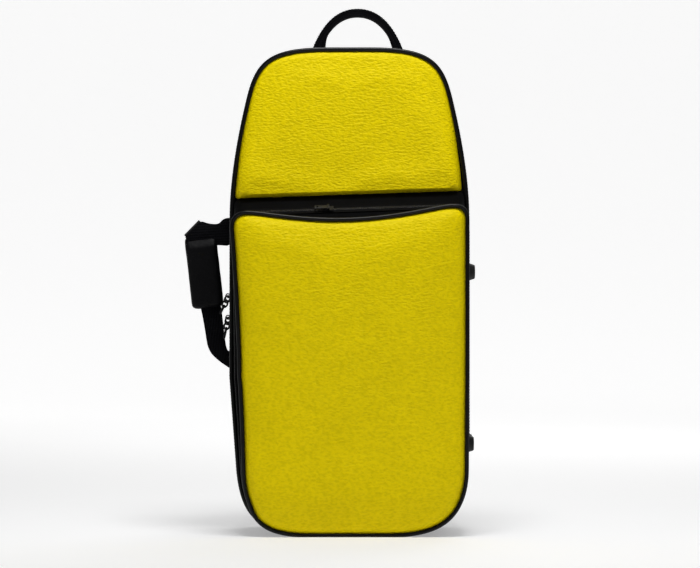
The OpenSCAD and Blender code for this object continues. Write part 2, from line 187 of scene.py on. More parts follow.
def embossed_faux_leather(colour):
    """PVC faux leather, roller-embossed: soft wrinkled grain about 5 mm wide and 2.5 mm tall."""
    material, tree, shader = new_material("pvc_faux_leather_embossed", 0.55, specular=0.07)
    place = add(tree, "TexCoord").outputs["Object"]
    stretched = add(tree, "Mapping", {"Vector": place, "Scale": (0.5, 1.0, 1.0)})
    wrinkle = add(tree, "TexNoise", {"Vector": stretched.outputs[0], "Scale": 1 / (2.6 * MM),
                                     "Detail": 1.0, "Distortion": 0.15})
    pebble = add(tree, "TexVoronoi", {"Vector": stretched.outputs[0], "Scale": 1 / (2.1 * MM)},
                 feature="SMOOTH_F1")
    swell = add(tree, "TexNoise", {"Vector": place, "Scale": 1 / (26 * MM), "Detail": 2.0})
    broad = emboss(tree, shader, swell.outputs["Fac"], 0.3, 1.0 * MM)
    low = emboss(tree, shader, pebble.outputs["Distance"], -0.6, 0.5 * MM, broad)
    emboss(tree, shader, wrinkle.outputs["Fac"], 1.0, 1.5 * MM, low)
    cloud = dye(tree, shader, place, shade(colour, 0.985), shade(colour, 1.01), 1 / (60 * MM))
    # Painted shade: the dye is darker in the hollows of the grain, which are also duller
    paint_relief_shading(tree, shader, cloud, wrinkle.outputs["Fac"], 0.87, 1.0, From_Min=0.3, From_Max=0.6)
    dull = add(tree, "MapRange", {"Value": wrinkle.outputs["Fac"], "From Min": 0.3, "From Max": 0.6,
                                  "To Min": 0.7, "To Max": 0.45})
    tree.links.new(dull.outputs["Result"], shader.inputs["Roughness"])
    return material


def smooth_faux_leather(colour):
    """Soft black PU leather, calendered smooth: faint creases that catch a dull light."""
    material, tree, shader = new_material("pu_faux_leather_smooth", 0.5, specular=0.09)
    place = add(tree, "TexCoord").outputs["Object"]
    dye(tree, shader, place, shade(colour, 0.9), shade(colour, 1.25), 1 / (30 * MM))
    crease = add(tree, "TexNoise", {"Vector": place, "Scale": 1 / (9 * MM), "Detail": 5.0,
                                    "Distortion": 0.6})
    grain = add(tree, "TexVoronoi", {"Vector": place, "Scale": 1 / (1.3 * MM)}, feature="SMOOTH_F1")
    low = emboss(tree, shader, crease.outputs["Fac"], 0.5, 1.2 * MM)
    emboss(tree, shader, grain.outputs["Distance"], 0.25, 0.15 * MM, low)
    return material


def piping_vinyl(colour):
    """Extruded vinyl over a cord core: glossy, with slow waves along the core."""
    material, tree, shader = new_material("vinyl_piping_extruded", 0.3, specular=0.16,
                                          Coat_Weight=0.05, Coat_Roughness=0.15)
    place = add(tree, "TexCoord").outputs["Object"]
    dye(tree, shader, place, shade(colour, 0.85), shade(colour, 1.2), 1 / (20 * MM))
    wave = add(tree, "TexNoise", {"Vector": place, "Scale": 1 / (7 * MM), "Detail": 2.0})
    emboss(tree, shader, wave.outputs["Fac"], 0.3, 0.5 * MM)
    rough = add(tree, "MapRange", {"Value": wave.outputs["Fac"], "To Min": 0.24, "To Max": 0.42})
    tree.links.new(rough.outputs["Result"], shader.inputs["Roughness"])
    return material


def woven(name, colour, warp_pitch, weft_pitch, depth, roughness, twill=0.0, ridge_highlight=1.35):
    """Cloth woven at the given thread spacing, read from the piece's own millimetre UV map."""
    material, tree, shader = new_material(name, roughness, specular=0.03,
                                          Sheen_Weight=0.01, Sheen_Roughness=0.4)
    place = add(tree, "TexCoord")
    split = add(tree, "SeparateXYZ", {"Vector": place.outputs["UV"]})
    across, along = split.outputs["X"], split.outputs["Y"]
    slant = add(tree, "Math", {0: across, 1: twill}, operation="MULTIPLY")
    shifted = add(tree, "Math", {0: along, 1: slant.outputs[0]}, operation="ADD")
    waves = []
    for thread, pitch in ((across, warp_pitch), (shifted.outputs[0], weft_pitch)):
        turn = add(tree, "Math", {0: thread, 1: 2 * math.pi / pitch}, operation="MULTIPLY")
        wave = add(tree, "Math", {0: turn.outputs[0]}, operation="SINE")
        waves.append(wave.outputs[0])
    weave = add(tree, "Math", {0: waves[0], 1: waves[1]}, operation="MULTIPLY")
    rib = add(tree, "Math", {0: weave.outputs[0], 1: waves[0]}, operation="ADD")
    level = add(tree, "MapRange", {"Value": rib.outputs[0], "From Min": -2.0, "From Max": 2.0})
    fuzz = add(tree, "TexNoise", {"Vector": place.outputs["Object"], "Scale": 1 / (1.1 * MM),
                                  "Detail": 3.0})
    low = emboss(tree, shader, fuzz.outputs["Fac"], 0.3, 0.2 * MM)
    emboss(tree, shader, level.outputs["Result"], 0.9, depth, low)
    cloud = dye(tree, shader, place.outputs["Object"], shade(colour, 0.8), shade(colour, 1.25),
                1 / (25 * MM))
    # Painted light on the weave: painted shade in the hollows between threads, and a painted highlight on
    # the ribs
    paint_relief_shading(tree, shader, cloud, level.outputs["Result"], 0.45, ridge_highlight)
    return material


def plush_pile(colour):
    """Brushed polyester plush over foam: deep, soft, with brushed patches and a light sheen."""
    material, tree, shader = new_material("polyester_plush_brushed", 0.95, specular=0.1,
                                          Sheen_Weight=0.8, Sheen_Roughness=0.5)
    place = add(tree, "TexCoord").outputs["Object"]
    brushed = add(tree, "TexNoise", {"Vector": place, "Scale": 1 / (18 * MM), "Detail": 4.0,
                                     "Distortion": 1.2})
    ramp = dye(tree, shader, place, shade(colour, 0.75), shade(colour, 1.35), 1 / (18 * MM), 4.0)
    ramp.color_ramp.elements[0].position = 0.35
    pile = add(tree, "TexNoise", {"Vector": place, "Scale": 1 / (1.2 * MM), "Detail": 4.0})
    low = emboss(tree, shader, brushed.outputs["Fac"], 0.4, 1.5 * MM)
    emboss(tree, shader, pile.outputs["Fac"], 0.8, 0.8 * MM, low)
    return material


def spacer_mesh(colour):
    """Knitted spacer mesh over foam: a lattice of open cells, drawn 4 mm wide so that it shows."""
    material, tree, shader = new_material("polyester_spacer_mesh", 0.8, specular=0.25, Sheen_Weight=0.3)
    place = add(tree, "TexCoord").outputs["Object"]
    cell = add(tree, "TexVoronoi", {"Vector": place, "Scale": 1 / (4 * MM), "Randomness": 0.12},
               feature="F1")
    hole = add(tree, "MapRange", {"Value": cell.outputs["Distance"], "From Min": 0.2, "From Max": 0.42},
               interpolation_type="SMOOTHSTEP")
    knit = add(tree, "TexNoise", {"Vector": place, "Scale": 1 / (0.9 * MM), "Detail": 2.0})
    low = emboss(tree, shader, knit.outputs["Fac"], 0.4, 0.3 * MM)
    emboss(tree, shader, hole.outputs["Result"], 1.0, 1.0 * MM, low)
    cloud = dye(tree, shader, place, shade(colour, 0.9), shade(colour, 1.2), 1 / (40 * MM))
    # Painted shade in the open cells, and a painted highlight on the lattice between them
    paint_relief_shading(tree, shader, cloud, hole.outputs["Result"], 0.3, 1.2)
    return material


def moulded(name, colour, roughness, grit, depth, metallic=0.0, specular=0.5):
    """A cast or moulded surface with the fine grit of its mould and softly rubbed tone."""
    material, tree, shader = new_material(name, roughness, metallic, specular)
    place = add(tree, "TexCoord").outputs["Object"]
    dye(tree, shader, place, shade(colour, 0.85), shade(colour, 1.15), 1 / (12 * MM))
    pits = add(tree, "TexNoise", {"Vector": place, "Scale": 1 / grit, "Detail": 4.0})
    emboss(tree, shader, pits.outputs["Fac"], 0.5, depth)
    rub = add(tree, "TexNoise", {"Vector": place, "Scale": 1 / (6 * MM), "Detail": 3.0})
    rough = add(tree, "MapRange", {"Value": rub.outputs["Fac"], "To Min": roughness * 0.75,
                                   "To Max": min(1.0, roughness * 1.3)})
    tree.links.new(rough.outputs["Result"], shader.inputs["Roughness"])
    return material


MATERIALS = {}


def make_materials(colours):
    """Makes every material once, from the chosen colours."""
    MATERIALS.update({
        "yellow_leather": embossed_faux_leather(colours.panel),
        "grip_leather": smooth_faux_leather("#08080A"),
        "piping": piping_vinyl(colours.vinyl),
        # 600-denier cloth has threads 0.4 mm apart, drawn 1.5 mm apart so that they show
        "shell_fabric": woven("nylon_oxford_woven", colours.black, 1.5, 1.5, 0.25 * MM, 0.7),
        # Lengthwise ribs 3.6 mm apart, crossed by slanting yarns, with a strong painted highlight on the
        # ribs and painted shade between them
        "webbing": woven("polypropylene_webbing_ribbed", colours.webbing, 3.6, 2.6, 0.6 * MM, 0.8,
                         twill=0.6, ridge_highlight=3.0),
        "zip_tape": woven("polyester_zip_tape_twill", "#0B0B0C", 1.6, 1.4, 0.15 * MM, 0.65, twill=1.0),
        "plush": plush_pile(colours.plush),
        "pad_mesh": spacer_mesh("#121213"),
        "zip_coil": moulded("nylon_coil_extruded", "#141416", 0.32, 0.8 * MM, 0.05 * MM),
        "rubber": moulded("rubber_moulded", "#0F0F10", 0.62, 0.9 * MM, 0.2 * MM, specular=0.35),
        "pull": moulded("rubber_pull_moulded", "#09090A", 0.55, 0.8 * MM, 0.12 * MM, specular=0.3),
        "slider": moulded("zinc_enamelled_black", "#0A0A0B", 0.42, 1.2 * MM, 0.06 * MM, specular=0.22),
        "steel": moulded("steel_nickel_plated", "#A9ABAE", 0.24, 1.5 * MM, 0.04 * MM, metallic=1.0),
        "thread": moulded("polyester_thread_twisted", "#19191B", 0.55, 0.5 * MM, 0.1 * MM),
    })


# ---------- Making pieces ----------

def only(obj):
    """Selects one object and makes it active."""
    bpy.ops.object.select_all(action="DESELECT")
    obj.select_set(True)
    bpy.context.view_layer.objects.active = obj


def edit(obj):
    """Enters edit mode on one object with nothing selected."""
    only(obj)
    bpy.ops.object.mode_set(mode="EDIT")
    bpy.ops.mesh.select_all(action="DESELECT")


def edit_all(obj):
    """Enters edit mode on one object with all of it selected."""
    only(obj)
    bpy.ops.object.mode_set(mode="EDIT")
    bpy.ops.mesh.select_all(action="SELECT")


def leave():
    bpy.ops.object.mode_set(mode="OBJECT")


def newest(name):
    """The object that a primitive operator has just made, under its name."""
    obj = bpy.context.view_layer.objects.active
    obj.name = name
    return obj


def settle(obj):
    """Puts an object's place into its mesh."""
    only(obj)
    bpy.ops.object.transform_apply(location=True, rotation=True, scale=True)


def smooth(obj, degrees=40):
    only(obj)
    bpy.ops.object.shade_smooth_by_angle(angle=math.radians(degrees))


def apply_modifier(obj, kind, **settings):
    """Adds a modifier, sets it and applies it."""
    only(obj)
    modifier = obj.modifiers.new(kind.title(), kind)
    for name, value in settings.items():
        setattr(modifier, name, value)
    bpy.ops.object.modifier_apply(modifier=modifier.name)


def outwards(obj):
    """Merges doubled points and turns all faces outwards."""
    edit_all(obj)
    bpy.ops.mesh.remove_doubles(threshold=0.01 * MM)
    bpy.ops.mesh.normals_make_consistent(inside=False)
    leave()


def hand_over(obj, body, slot, *nodes, material=None):
    """Gives a finished piece the material named by its slot, or the one given, puts it on its body, and
    hides the CAD nodes it stands for.
    """
    obj.data.materials.clear()
    obj.data.materials.append(MATERIALS[material or slot])
    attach(obj, body)
    if nodes:
        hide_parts(*nodes)
    return obj


def mesh_object(name, points, faces, uvs=None):
    """A mesh object from points and faces, with a millimetre UV for each corner where given."""
    mesh = bpy.data.meshes.new(name)
    mesh.from_pydata([tuple(p) for p in points], [], faces)
    if uvs:
        layer = mesh.uv_layers.new(name="cloth")
        for polygon in mesh.polygons:
            for loop, uv in zip(polygon.loop_indices, uvs[polygon.index]):
                layer.data[loop].uv = uv
    mesh.validate()
    obj = bpy.data.objects.new(name, mesh)
    bpy.context.scene.collection.objects.link(obj)
    return obj


def skin(rings, count, first=0):
    """Four-sided faces between neighbouring closed rings of count points each."""
    return [(first + r * count + i, first + r * count + (i + 1) % count,
             first + (r + 1) * count + (i + 1) % count, first + (r + 1) * count + i)
            for r in range(rings - 1) for i in range(count)]


def distances(points, closed):
    """Distance along a line of points at each point, in millimetres."""
    total, out = 0.0, [0.0]
    for a, b in zip(points, points[1:] + (points[:1] if closed else [])):
        total += (b - a).length / MM
        out.append(total)
    return out


def loft(name, loops, caps=(True, True)):
    """Skin over closed loops that have the same number of points, with flat caps where asked."""
    count = len(loops[0])
    points = [p for loop in loops for p in loop]
    along = distances(loops[len(loops) // 2], True)
    across = distances([loop[0] for loop in loops], False)
    faces = skin(len(loops), count)
    uvs = [[(along[i], across[r]), (along[i + 1], across[r]),
            (along[i + 1], across[r + 1]), (along[i], across[r + 1])]
           for r in range(len(loops) - 1) for i in range(count)]
    for r, wanted in ((0, caps[0]), (len(loops) - 1, caps[1])):
        if wanted:
            ring = list(range(r * count, (r + 1) * count))
            faces.append(ring)
            uvs.append([(points[k].x / MM, points[k].z / MM) for k in ring])
    obj = mesh_object(name, points, faces, uvs)
    outwards(obj)
    return obj


def crowned(name, loop, base, height, spine, rings=22, back=1.5 * MM):
    """Closed pad over a loop: rings draw in to a spine, and rise by height(distance in, x, z)."""
    count = len(loop)
    rows = []
    for r in range(rings + 1):
        t = 1 - (1 - r / rings) ** 1.5 if r < rings else 1.0
        row = []
        for x, z in loop:
            middle = Vector((spine[0], min(max(z, spine[1]), spine[2])))
            at = Vector((x, z)).lerp(middle, t)
            away = (at - Vector((x, z))).length
            row.append(Vector((at.x, base(at.y) - height(away, at.x, at.y), at.y)))
        rows.append(row)
    under = [Vector((x, base(z) + back, z)) for x, z in loop]
    points = [p for row in [under] + rows for p in row]
    faces = skin(len(rows) + 1, count) + [list(range(count))]
    uvs = [[(points[k].x / MM, points[k].z / MM) for k in face] for face in faces]
    obj = mesh_object(name, points, faces, uvs)
    outwards(obj)
    return obj


# Cloth solver's settings for a stiff lined cover, and the frames that it takes to fill
COVER_CLOTH = {"quality": 6, "mass": 0.3, "tension_stiffness": 30, "compression_stiffness": 30,
               "bending_stiffness": 8, "use_pressure": True, "vertex_group_mass": "seam"}
FILL_FRAMES = 20


def tree_of(places):
    """A search tree over places, for the nearest or the neighbouring ones."""
    tree = KDTree(len(places))
    for i, place in enumerate(places):
        tree.insert(place, i)
    tree.balance()
    return tree


def puff(obj, pressure, cap, seam_reach, edge_distance, reach=6 * MM):
    """Fills a padded piece with air in the cloth solver, held along its seam.

    No point moves past cap, and each moves with its neighbours within reach.
    """
    group = obj.vertex_groups.new(name="seam")
    start = [v.co.copy() for v in obj.data.vertices]
    for vertex in obj.data.vertices:
        held = max(0.0, 1 - edge_distance(vertex.co) / seam_reach)
        group.add([vertex.index], held, "REPLACE")
    cloth = obj.modifiers.new("Cloth", "CLOTH")
    for name, value in COVER_CLOTH.items():
        setattr(cloth.settings, name, value)
    cloth.settings.uniform_pressure_force = pressure
    cloth.settings.effector_weights.gravity = 0
    cloth.point_cache.frame_start = 1
    cloth.point_cache.frame_end = FILL_FRAMES
    for number in range(1, FILL_FRAMES + 1):
        bpy.context.scene.frame_set(number)
    solved = obj.evaluated_get(bpy.context.evaluated_depsgraph_get())
    moved = [v.co.copy() for v in solved.data.vertices]
    obj.modifiers.remove(cloth)
    obj.vertex_groups.clear()
    bpy.context.scene.frame_set(1)
    # Each point takes the mean step of its neighbourhood, none of it along the seam
    tree = tree_of(start)
    steps = []
    for was, now in zip(start, moved):
        step = now - was
        steps.append(step.normalized() * min(step.length, cap) if step.length > 0 else step)
    for vertex, was in zip(obj.data.vertices, start):
        near = [steps[i] for _, i, _ in tree.find_range(was, reach)]
        mean = sum(near, Vector()) / max(1, len(near))
        vertex.co = was + mean * ease(edge_distance(was), seam_reach * 0.4, seam_reach * 2.2)


def tube(name, points, radius, closed=True, resolution=3):
    """Round cord along a line of points."""
    curve = bpy.data.curves.new(name, "CURVE")
    curve.dimensions = "3D"
    curve.bevel_depth = radius
    curve.bevel_resolution = resolution
    curve.use_fill_caps = True
    spline = curve.splines.new("POLY")
    spline.points.add(len(points) - 1)
    for point, place in zip(spline.points, points):
        point.co = (*place, 1.0)
    spline.use_cyclic_u = closed
    obj = bpy.data.objects.new(name, curve)
    bpy.context.scene.collection.objects.link(obj)
    only(obj)
    bpy.ops.object.convert(target="MESH")
    made = newest(name)
    smooth(made, 60)
    return made


def ribbon(name, path, width_dirs, widths, thickness, ribs=9, rib_height=0.28 * MM):
    """Flat webbing swept along a path, ribbed lengthwise, with its own millimetre UV map."""
    steps = 4 * ribs
    section = []
    for k in range(steps + 1):
        u = k / steps - 0.5
        bulge = rib_height * abs(math.cos(math.pi * ribs * u)) * (1 if abs(u) < 0.49 else 0)
        section.append((u, thickness / 2 - rib_height + bulge))
    outline = section + [(u, -h) for u, h in reversed(section)]
    count = len(outline)
    points = []
    for i, place in enumerate(path):
        forward = (path[min(i + 1, len(path) - 1)] - path[max(i - 1, 0)]).normalized()
        side = width_dirs[i].normalized()
        normal = side.cross(forward).normalized()
        points += [place + side * (u * widths[i]) + normal * h for u, h in outline]
    along = distances(path, False)
    faces, uvs = skin(len(path), count), []
    for i in range(len(path) - 1):
        for k in range(count):
            u1, u2 = (outline[n % count][0] * widths[i] / MM for n in (k, k + 1))
            uvs.append([(u1, along[i]), (u2, along[i]), (u2, along[i + 1]), (u1, along[i + 1])])
    for i in (0, len(path) - 1):
        faces.append([i * count + k for k in range(count)])
        uvs.append([(outline[k][0] * widths[i] / MM, along[i]) for k in range(count)])
    obj = mesh_object(name, points, faces, uvs)
    outwards(obj)
    smooth(obj, 35)
    return obj


def from_node(name, node, bevel, segments=3, angle=25):
    """A copy of a CAD node's shape, merged to clean faces, with its sharp edges rounded."""
    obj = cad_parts[node].copy()
    obj.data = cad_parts[node].data.copy()
    obj.parent = None
    obj.hide_render = False
    obj.hide_viewport = False
    for key in list(obj.keys()):
        if key.startswith("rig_"):
            del obj[key]
    obj.name = name
    bpy.context.scene.collection.objects.link(obj)
    edit_all(obj)
    bpy.ops.mesh.remove_doubles(threshold=0.02 * MM)
    bpy.ops.mesh.dissolve_limited(angle_limit=math.radians(1))
    bpy.ops.mesh.normals_make_consistent(inside=False)
    leave()
    if bevel:
        apply_modifier(obj, "BEVEL", width=bevel, segments=segments, limit_method="ANGLE",
                       angle_limit=math.radians(angle), use_clamp_overlap=True, harden_normals=False)
    smooth(obj, 35)
    return obj


def cloth_uv(obj, across, along):
    """Gives a piece one UV map, in millimetres along two directions, for its weave to follow."""
    layer = obj.data.uv_layers.get("cloth") or obj.data.uv_layers.new(name="cloth")
    for loop in obj.data.loops:
        place = obj.data.vertices[loop.vertex_index].co
        layer.data[loop.index].uv = (place.dot(across) / MM, place.dot(along) / MM)
    for other in [other for other in obj.data.uv_layers if other.name != "cloth"]:
        obj.data.uv_layers.remove(other)


def threads(name, ends, radius):
    """Short six-sided threads with narrowed ends, one for each pair of end points."""
    points, faces = [], []
    for a, b in ends:
        forward = (b - a).normalized()
        side = forward.orthogonal().normalized()
        up = forward.cross(side)
        first = len(points)
        for share, size in ((0, 0.45), (0.15, 1.0), (0.85, 1.0), (1, 0.45)):
            for k in range(6):
                turn = k * math.pi / 3
                out = side * math.cos(turn) + up * math.sin(turn)
                points.append(a.lerp(b, share) + out * radius * size)
        faces += skin(4, 6, first)
        faces.append([first + k for k in range(5, -1, -1)])
        faces.append([first + 18 + k for k in range(6)])
    obj = mesh_object(name, points, faces)
    smooth(obj, 60)
    return obj


def stitches(name, points, pitch, closed=False, radius=STITCH, share=0.62):
    """A row of sewn stitches along a line of points."""
    line = resample(points, max(2, round(distances(points, closed)[-1] * MM / pitch)), closed)
    pairs = list(zip(line, line[1:] + line[:1])) if closed else list(zip(line, line[1:]))
    return threads(name, [(a, a.lerp(b, share)) for a, b in pairs], radius)


def sew(name, points, body, slot, closed=False):
    """Sews a row of stitches in the case's thread, and hands it over."""
    row = stitches(name, points, bpy.context.scene.case_sizes.stitch_pitch, closed)
    return hand_over(row, body, slot, material="thread")


# ---------- The case's own curves ----------

def bezier(a, b, c, d, count):
    """Points along a cubic curve, without its last point."""
    out = []
    for i in range(count):
        t = i / count
        u = 1 - t
        out.append(a * u ** 3 + b * 3 * u * u * t + c * 3 * u * t * t + d * t ** 3)
    return out


def resample(points, count, closed=True):
    """count points evenly spaced along a line of points."""
    line = list(points) + ([points[0]] if closed else [])
    marks = [0.0]
    for a, b in zip(line, line[1:]):
        marks.append(marks[-1] + (b - a).length)
    out, k = [], 0
    for i in range(count):
        want = marks[-1] * i / (count if closed else count - 1)
        while k < len(marks) - 2 and marks[k + 1] < want:
            k += 1
        span = marks[k + 1] - marks[k] or 1.0
        out.append(line[k].lerp(line[k + 1], min(1.0, (want - marks[k]) / span)))
    return out


def flat(x, z):
    return Vector((x * MM, z * MM))


CORNER_Z, HIP_Z, LEAN_RUN = 90, 210, 70
LEFT_IN, RIGHT_IN = 9, 2


def case_side(low_in):
    """One side of the case's outline, for positive x, from mid-top to mid-base."""
    w, h = HALF_W / MM, CASE_H / MM
    lean = LEAN_RUN * low_in / (HIP_Z - CORNER_Z)
    return ([flat(0, h)]
            + bezier(flat(30, h), flat(w - 54, h), flat(w - 35, h - 17), flat(w - 23, h - 66), 30)
            + bezier(flat(w - 23, h - 66), flat(w - 9, h - 124), flat(w, h - 180), flat(w, h - 230), 24)
            + [flat(w, h - 230), flat(w, HIP_Z)]
            + bezier(flat(w - low_in, CORNER_Z), flat(w - low_in - lean, CORNER_Z - LEAN_RUN),
                     flat(w - 42, 0), flat(50, 0), 40)
            + [flat(50, 0), flat(0, 0)])


def drawn_in(line, inset):
    """A side's line moved in towards the case's middle by inset, or by inset(z)."""
    out = []
    for i, p in enumerate(line):
        forward = line[min(i + 1, len(line) - 1)] - line[max(i - 1, 0)]
        normal = Vector((forward.y, -forward.x)).normalized()
        if i in (0, len(line) - 1):
            normal = Vector((0, -1 if i == 0 else 1))
        amount = inset(p.y) if callable(inset) else inset
        inwards = i in (0, len(line) - 1) or normal.dot(Vector((-p.x, CASE_H / 2 - p.y))) > 0
        sign = 1 if inwards else -1
        out.append(p + normal * (sign * amount))
    return out


RIGHT_SIDE = resample(case_side(RIGHT_IN), 320, closed=False)
LEFT_SIDE = resample(case_side(LEFT_IN), 320, closed=False)


def case_loop(inset=0.0, count=260, right_inset=None):
    """The case's outline, drawn in by inset, as evenly spaced (x, z) points."""
    right = drawn_in(RIGHT_SIDE, inset if right_inset is None else right_inset)
    left = [Vector((-p.x, p.y)) for p in drawn_in(LEFT_SIDE, inset)]
    return resample(right + left[-2:0:-1], count)


def lid_front(z):
    """Depth of the lid's front face, which leans back towards its top."""
    return LID_FRONT_LOW + (LID_FRONT_TOP - LID_FRONT_LOW) * z / CASE_H


def at_depth(loop, depth):
    """(x, z) points as places in space, at one depth or at depth(z)."""
    return [Vector((p.x, depth(p.y) if callable(depth) else depth, p.y)) for p in loop]


def side_below(line, inset, z_start, mirror, count):
    """The part of a side's line below z_start, drawn in by inset, down to the middle of the base."""
    moved = drawn_in(line, inset)
    part = [p for p in moved if p.y < z_start]
    first = next(i for i, p in enumerate(moved) if p.y < z_start)
    a, b = moved[first - 1], moved[first]
    part.insert(0, a.lerp(b, (a.y - z_start) / (a.y - b.y)))
    if mirror:
        part = [Vector((-p.x, p.y)) for p in part]
    return resample(part, count, closed=False)


def corner(a, b, c, count):
    """Round corner from a to c that bends at b."""
    out = []
    for i in range(count):
        t = i / count
        out.append(a * (1 - t) ** 2 + b * 2 * t * (1 - t) + c * t * t)
    return out


def pocket_loop(top, radius, left_in, right_in):
    """Loop of the pocket at one depth: its upper edge is top(x), the rest follows the case."""
    xr, xl = HALF_W - right_in(0.4), -(HALF_W - left_in(0.4))
    edge = [Vector((x, top(x))) for x in
            [xl + radius + (xr - xl - 2 * radius) * i / 60 for i in range(61)]]
    right = side_below(RIGHT_SIDE, right_in, top(xr) - radius, False, 90)
    left = side_below(LEFT_SIDE, left_in, top(xl) - radius, True, 90)
    turn_r = corner(edge[-1], Vector((xr, top(xr))), right[0], 10)
    turn_l = corner(left[0], Vector((xl, top(xl))), edge[0], 10)
    return edge[:-1] + turn_r + right[:-1] + left[:0:-1] + turn_l


# ---------- Operators, one for each piece or group of like pieces ----------

# Lights: name, place, aim, size and power
LIGHTS = (("key", (0.06, -0.62, 1.95), (0, -0.1, 0.4), 0.7, 25),
          ("front", (0.9, -3.4, 1.4), (0, 0, 0.4), 2.0, 1.8),
          ("left", (-2.4, -0.8, 1.3), (0, 0, 0.4), 1.4, 1.6),
          ("behind", (0.6, 2.2, 2.0), (0, 0, 0.4), 1.8, 24))
# The camera looks straight at the front, and sees VIEW_WIDTH at VIEW_DISTANCE
EYE = (0.0007, -4.06, 0.3337)
VIEW_DISTANCE, VIEW_WIDTH, SENSOR = 4.0, 0.9324, 36
FLOOR_WIDTH, FLOOR_LENGTH, WALL_RISE, SWEEP = 16, 12, 8, 2.5


class CASE_OT_stage(bpy.types.Operator):
    """Floor, backdrop, lights and camera"""
    bl_idname = "case.stage"
    bl_label = "Stage"

    def execute(self, context):
        sheet, tree, shader = new_material("paper_backdrop_matt", 0.95, specular=0.1)
        place = add(tree, "TexCoord").outputs["Object"]
        tone = context.scene.case_colours.floor
        dye(tree, shader, place, shade(tone, 0.99), tone, 0.7)
        fibre = add(tree, "TexNoise", {"Vector": place, "Scale": 400.0})
        emboss(tree, shader, fibre.outputs["Fac"], 0.05, 0.2 * MM)
        # The paper glows with painted light, more towards the back where it sweeps up, so it stays pale all
        # over
        split = add(tree, "SeparateXYZ", {"Vector": place})
        glow = add(tree, "MapRange", {"Value": split.outputs["Y"], "From Min": 0.3, "From Max": 4.5,
                                      "To Min": 0.32, "To Max": 0.73}, interpolation_type="SMOOTHSTEP")
        shader.inputs["Emission Color"].default_value = (1, 1, 1, 1)
        tree.links.new(glow.outputs["Result"], shader.inputs["Emission Strength"])
        # A floor that sweeps up into a backdrop
        bpy.ops.object.select_all(action="DESELECT")
        bpy.ops.mesh.primitive_plane_add(size=1)
        floor = newest("floor")
        floor.scale = (FLOOR_WIDTH, FLOOR_LENGTH, 1)
        floor.location = (0, 0, -0.2 * MM)
        settle(floor)
        edit(floor)
        mesh = bmesh.from_edit_mesh(floor.data)
        for e in mesh.edges:
            e.select = all(v.co.y > 5 for v in e.verts)
        mesh.select_flush(True)
        bmesh.update_edit_mesh(floor.data)
        bpy.ops.mesh.extrude_region_move(TRANSFORM_OT_translate={"value": (0, 0, WALL_RISE)})
        leave()
        apply_modifier(floor, "BEVEL", width=SWEEP, segments=12, limit_method="ANGLE")
        smooth(floor)
        floor.data.materials.append(sheet)

        world = bpy.data.worlds.new("studio")
        world.use_nodes = True
        world.node_tree.nodes["Background"].inputs["Color"].default_value = (1, 1, 1, 1)
        world.node_tree.nodes["Background"].inputs["Strength"].default_value = 0.12
        context.scene.world = world
        context.scene.view_settings.view_transform = "Standard"
        for name, place_at, aim, size, power in LIGHTS:
            light = bpy.data.lights.new(name, "AREA")
            light.shape = "SQUARE"
            light.size = size
            light.energy = power
            lamp = bpy.data.objects.new(name, light)
            lamp.location = place_at
            lamp.rotation_euler = (Vector(aim) - Vector(place_at)).to_track_quat("-Z", "Y").to_euler()
            context.scene.collection.objects.link(lamp)

        camera = bpy.data.cameras.new("camera")
        camera.sensor_width = SENSOR
        camera.lens = SENSOR * VIEW_DISTANCE / VIEW_WIDTH
        eye = bpy.data.objects.new("camera", camera)
        eye.location = EYE
        eye.rotation_euler = (math.pi / 2, 0, 0)
        context.scene.collection.objects.link(eye)
        context.scene.camera = eye
        return {"FINISHED"}


class CASE_OT_shells(bpy.types.Operator):
    """Stiff cloth-covered shells of the back and the lid"""
    bl_idname = "case.shells"
    bl_label = "Shells"

    def execute(self, context):
        # Section of each shell, from its inner edge round the rim to the outer face: inset and depth
        profile = [(6.0, 76), (6.0, -2.4), (5.4, -3), (0.7, -3), (0, -2.2), (0, 20), (0, 45), (0, 74),
                   (0.4, 77), (1.5, 79.6), (3.2, 81.3), (5.4, 82)]
        loops = [at_depth(case_loop(inset * MM), y * MM) for inset, y in profile]
        shell = loft("back_shell_cloth", loops)
        smooth(shell, 30)
        hand_over(shell, BACK, "shell_fabric", "back_shell")

        profile = [(6.0, 6), (6.0, None, -13.6), (5.4, None, -13), (0.7, None, -13), (0, None, -13.8),
                   (0, None, -30), (0, 12), (0, 4.5), (0.5, 2.4), (1.8, 0.8), (4, 0)]
        loops = []
        for row in profile:
            if row[1] is None:
                loops.append(at_depth(case_loop(row[0] * MM), row[2] * MM))
            else:
                lean = lambda z, step=row[1]: lid_front(z) + step * MM
                loops.append(at_depth(case_loop(row[0] * MM), lean))
        shell = loft("lid_shell_cloth", loops)
        smooth(shell, 30)
        hand_over(shell, LID, "shell_fabric", "lid_shell")
        return {"FINISHED"}


class CASE_OT_piping(bpy.types.Operator):
    """Round vinyl piping on the lid's front edge and on the back edge, with its sewn flange"""
    bl_idname = "case.piping"
    bl_label = "Piping"

    def execute(self, context):
        radius = context.scene.case_sizes.piping_radius
        for name, body, depth, sign, node in (
                ("lid_piping_cord", LID, lambda z: lid_front(z) - 2.3 * MM, -1, "lid_piping"),
                ("back_piping_cord", BACK, lambda z: BACK_Y + 2.2 * MM, 1, "back_piping")):
            cord = tube(name, at_depth(case_loop(radius, 420), depth), radius)
            hand_over(cord, body, "piping", node)
            seam = at_depth(case_loop(0.05 * MM, 420),
                            lambda z, d=depth, s=sign: d(z) - s * 7.5 * MM)
            sew(name.replace("cord", "stitches"), seam, body, "shell_fabric", True)
        return {"FINISHED"}


BAND_TILT = math.tan(math.radians(1.9))


def band_line(x):
    """Height of the upper panel's lower edge, which climbs a little to the right."""
    return BAND_Z - 1.2 * MM + x * BAND_TILT


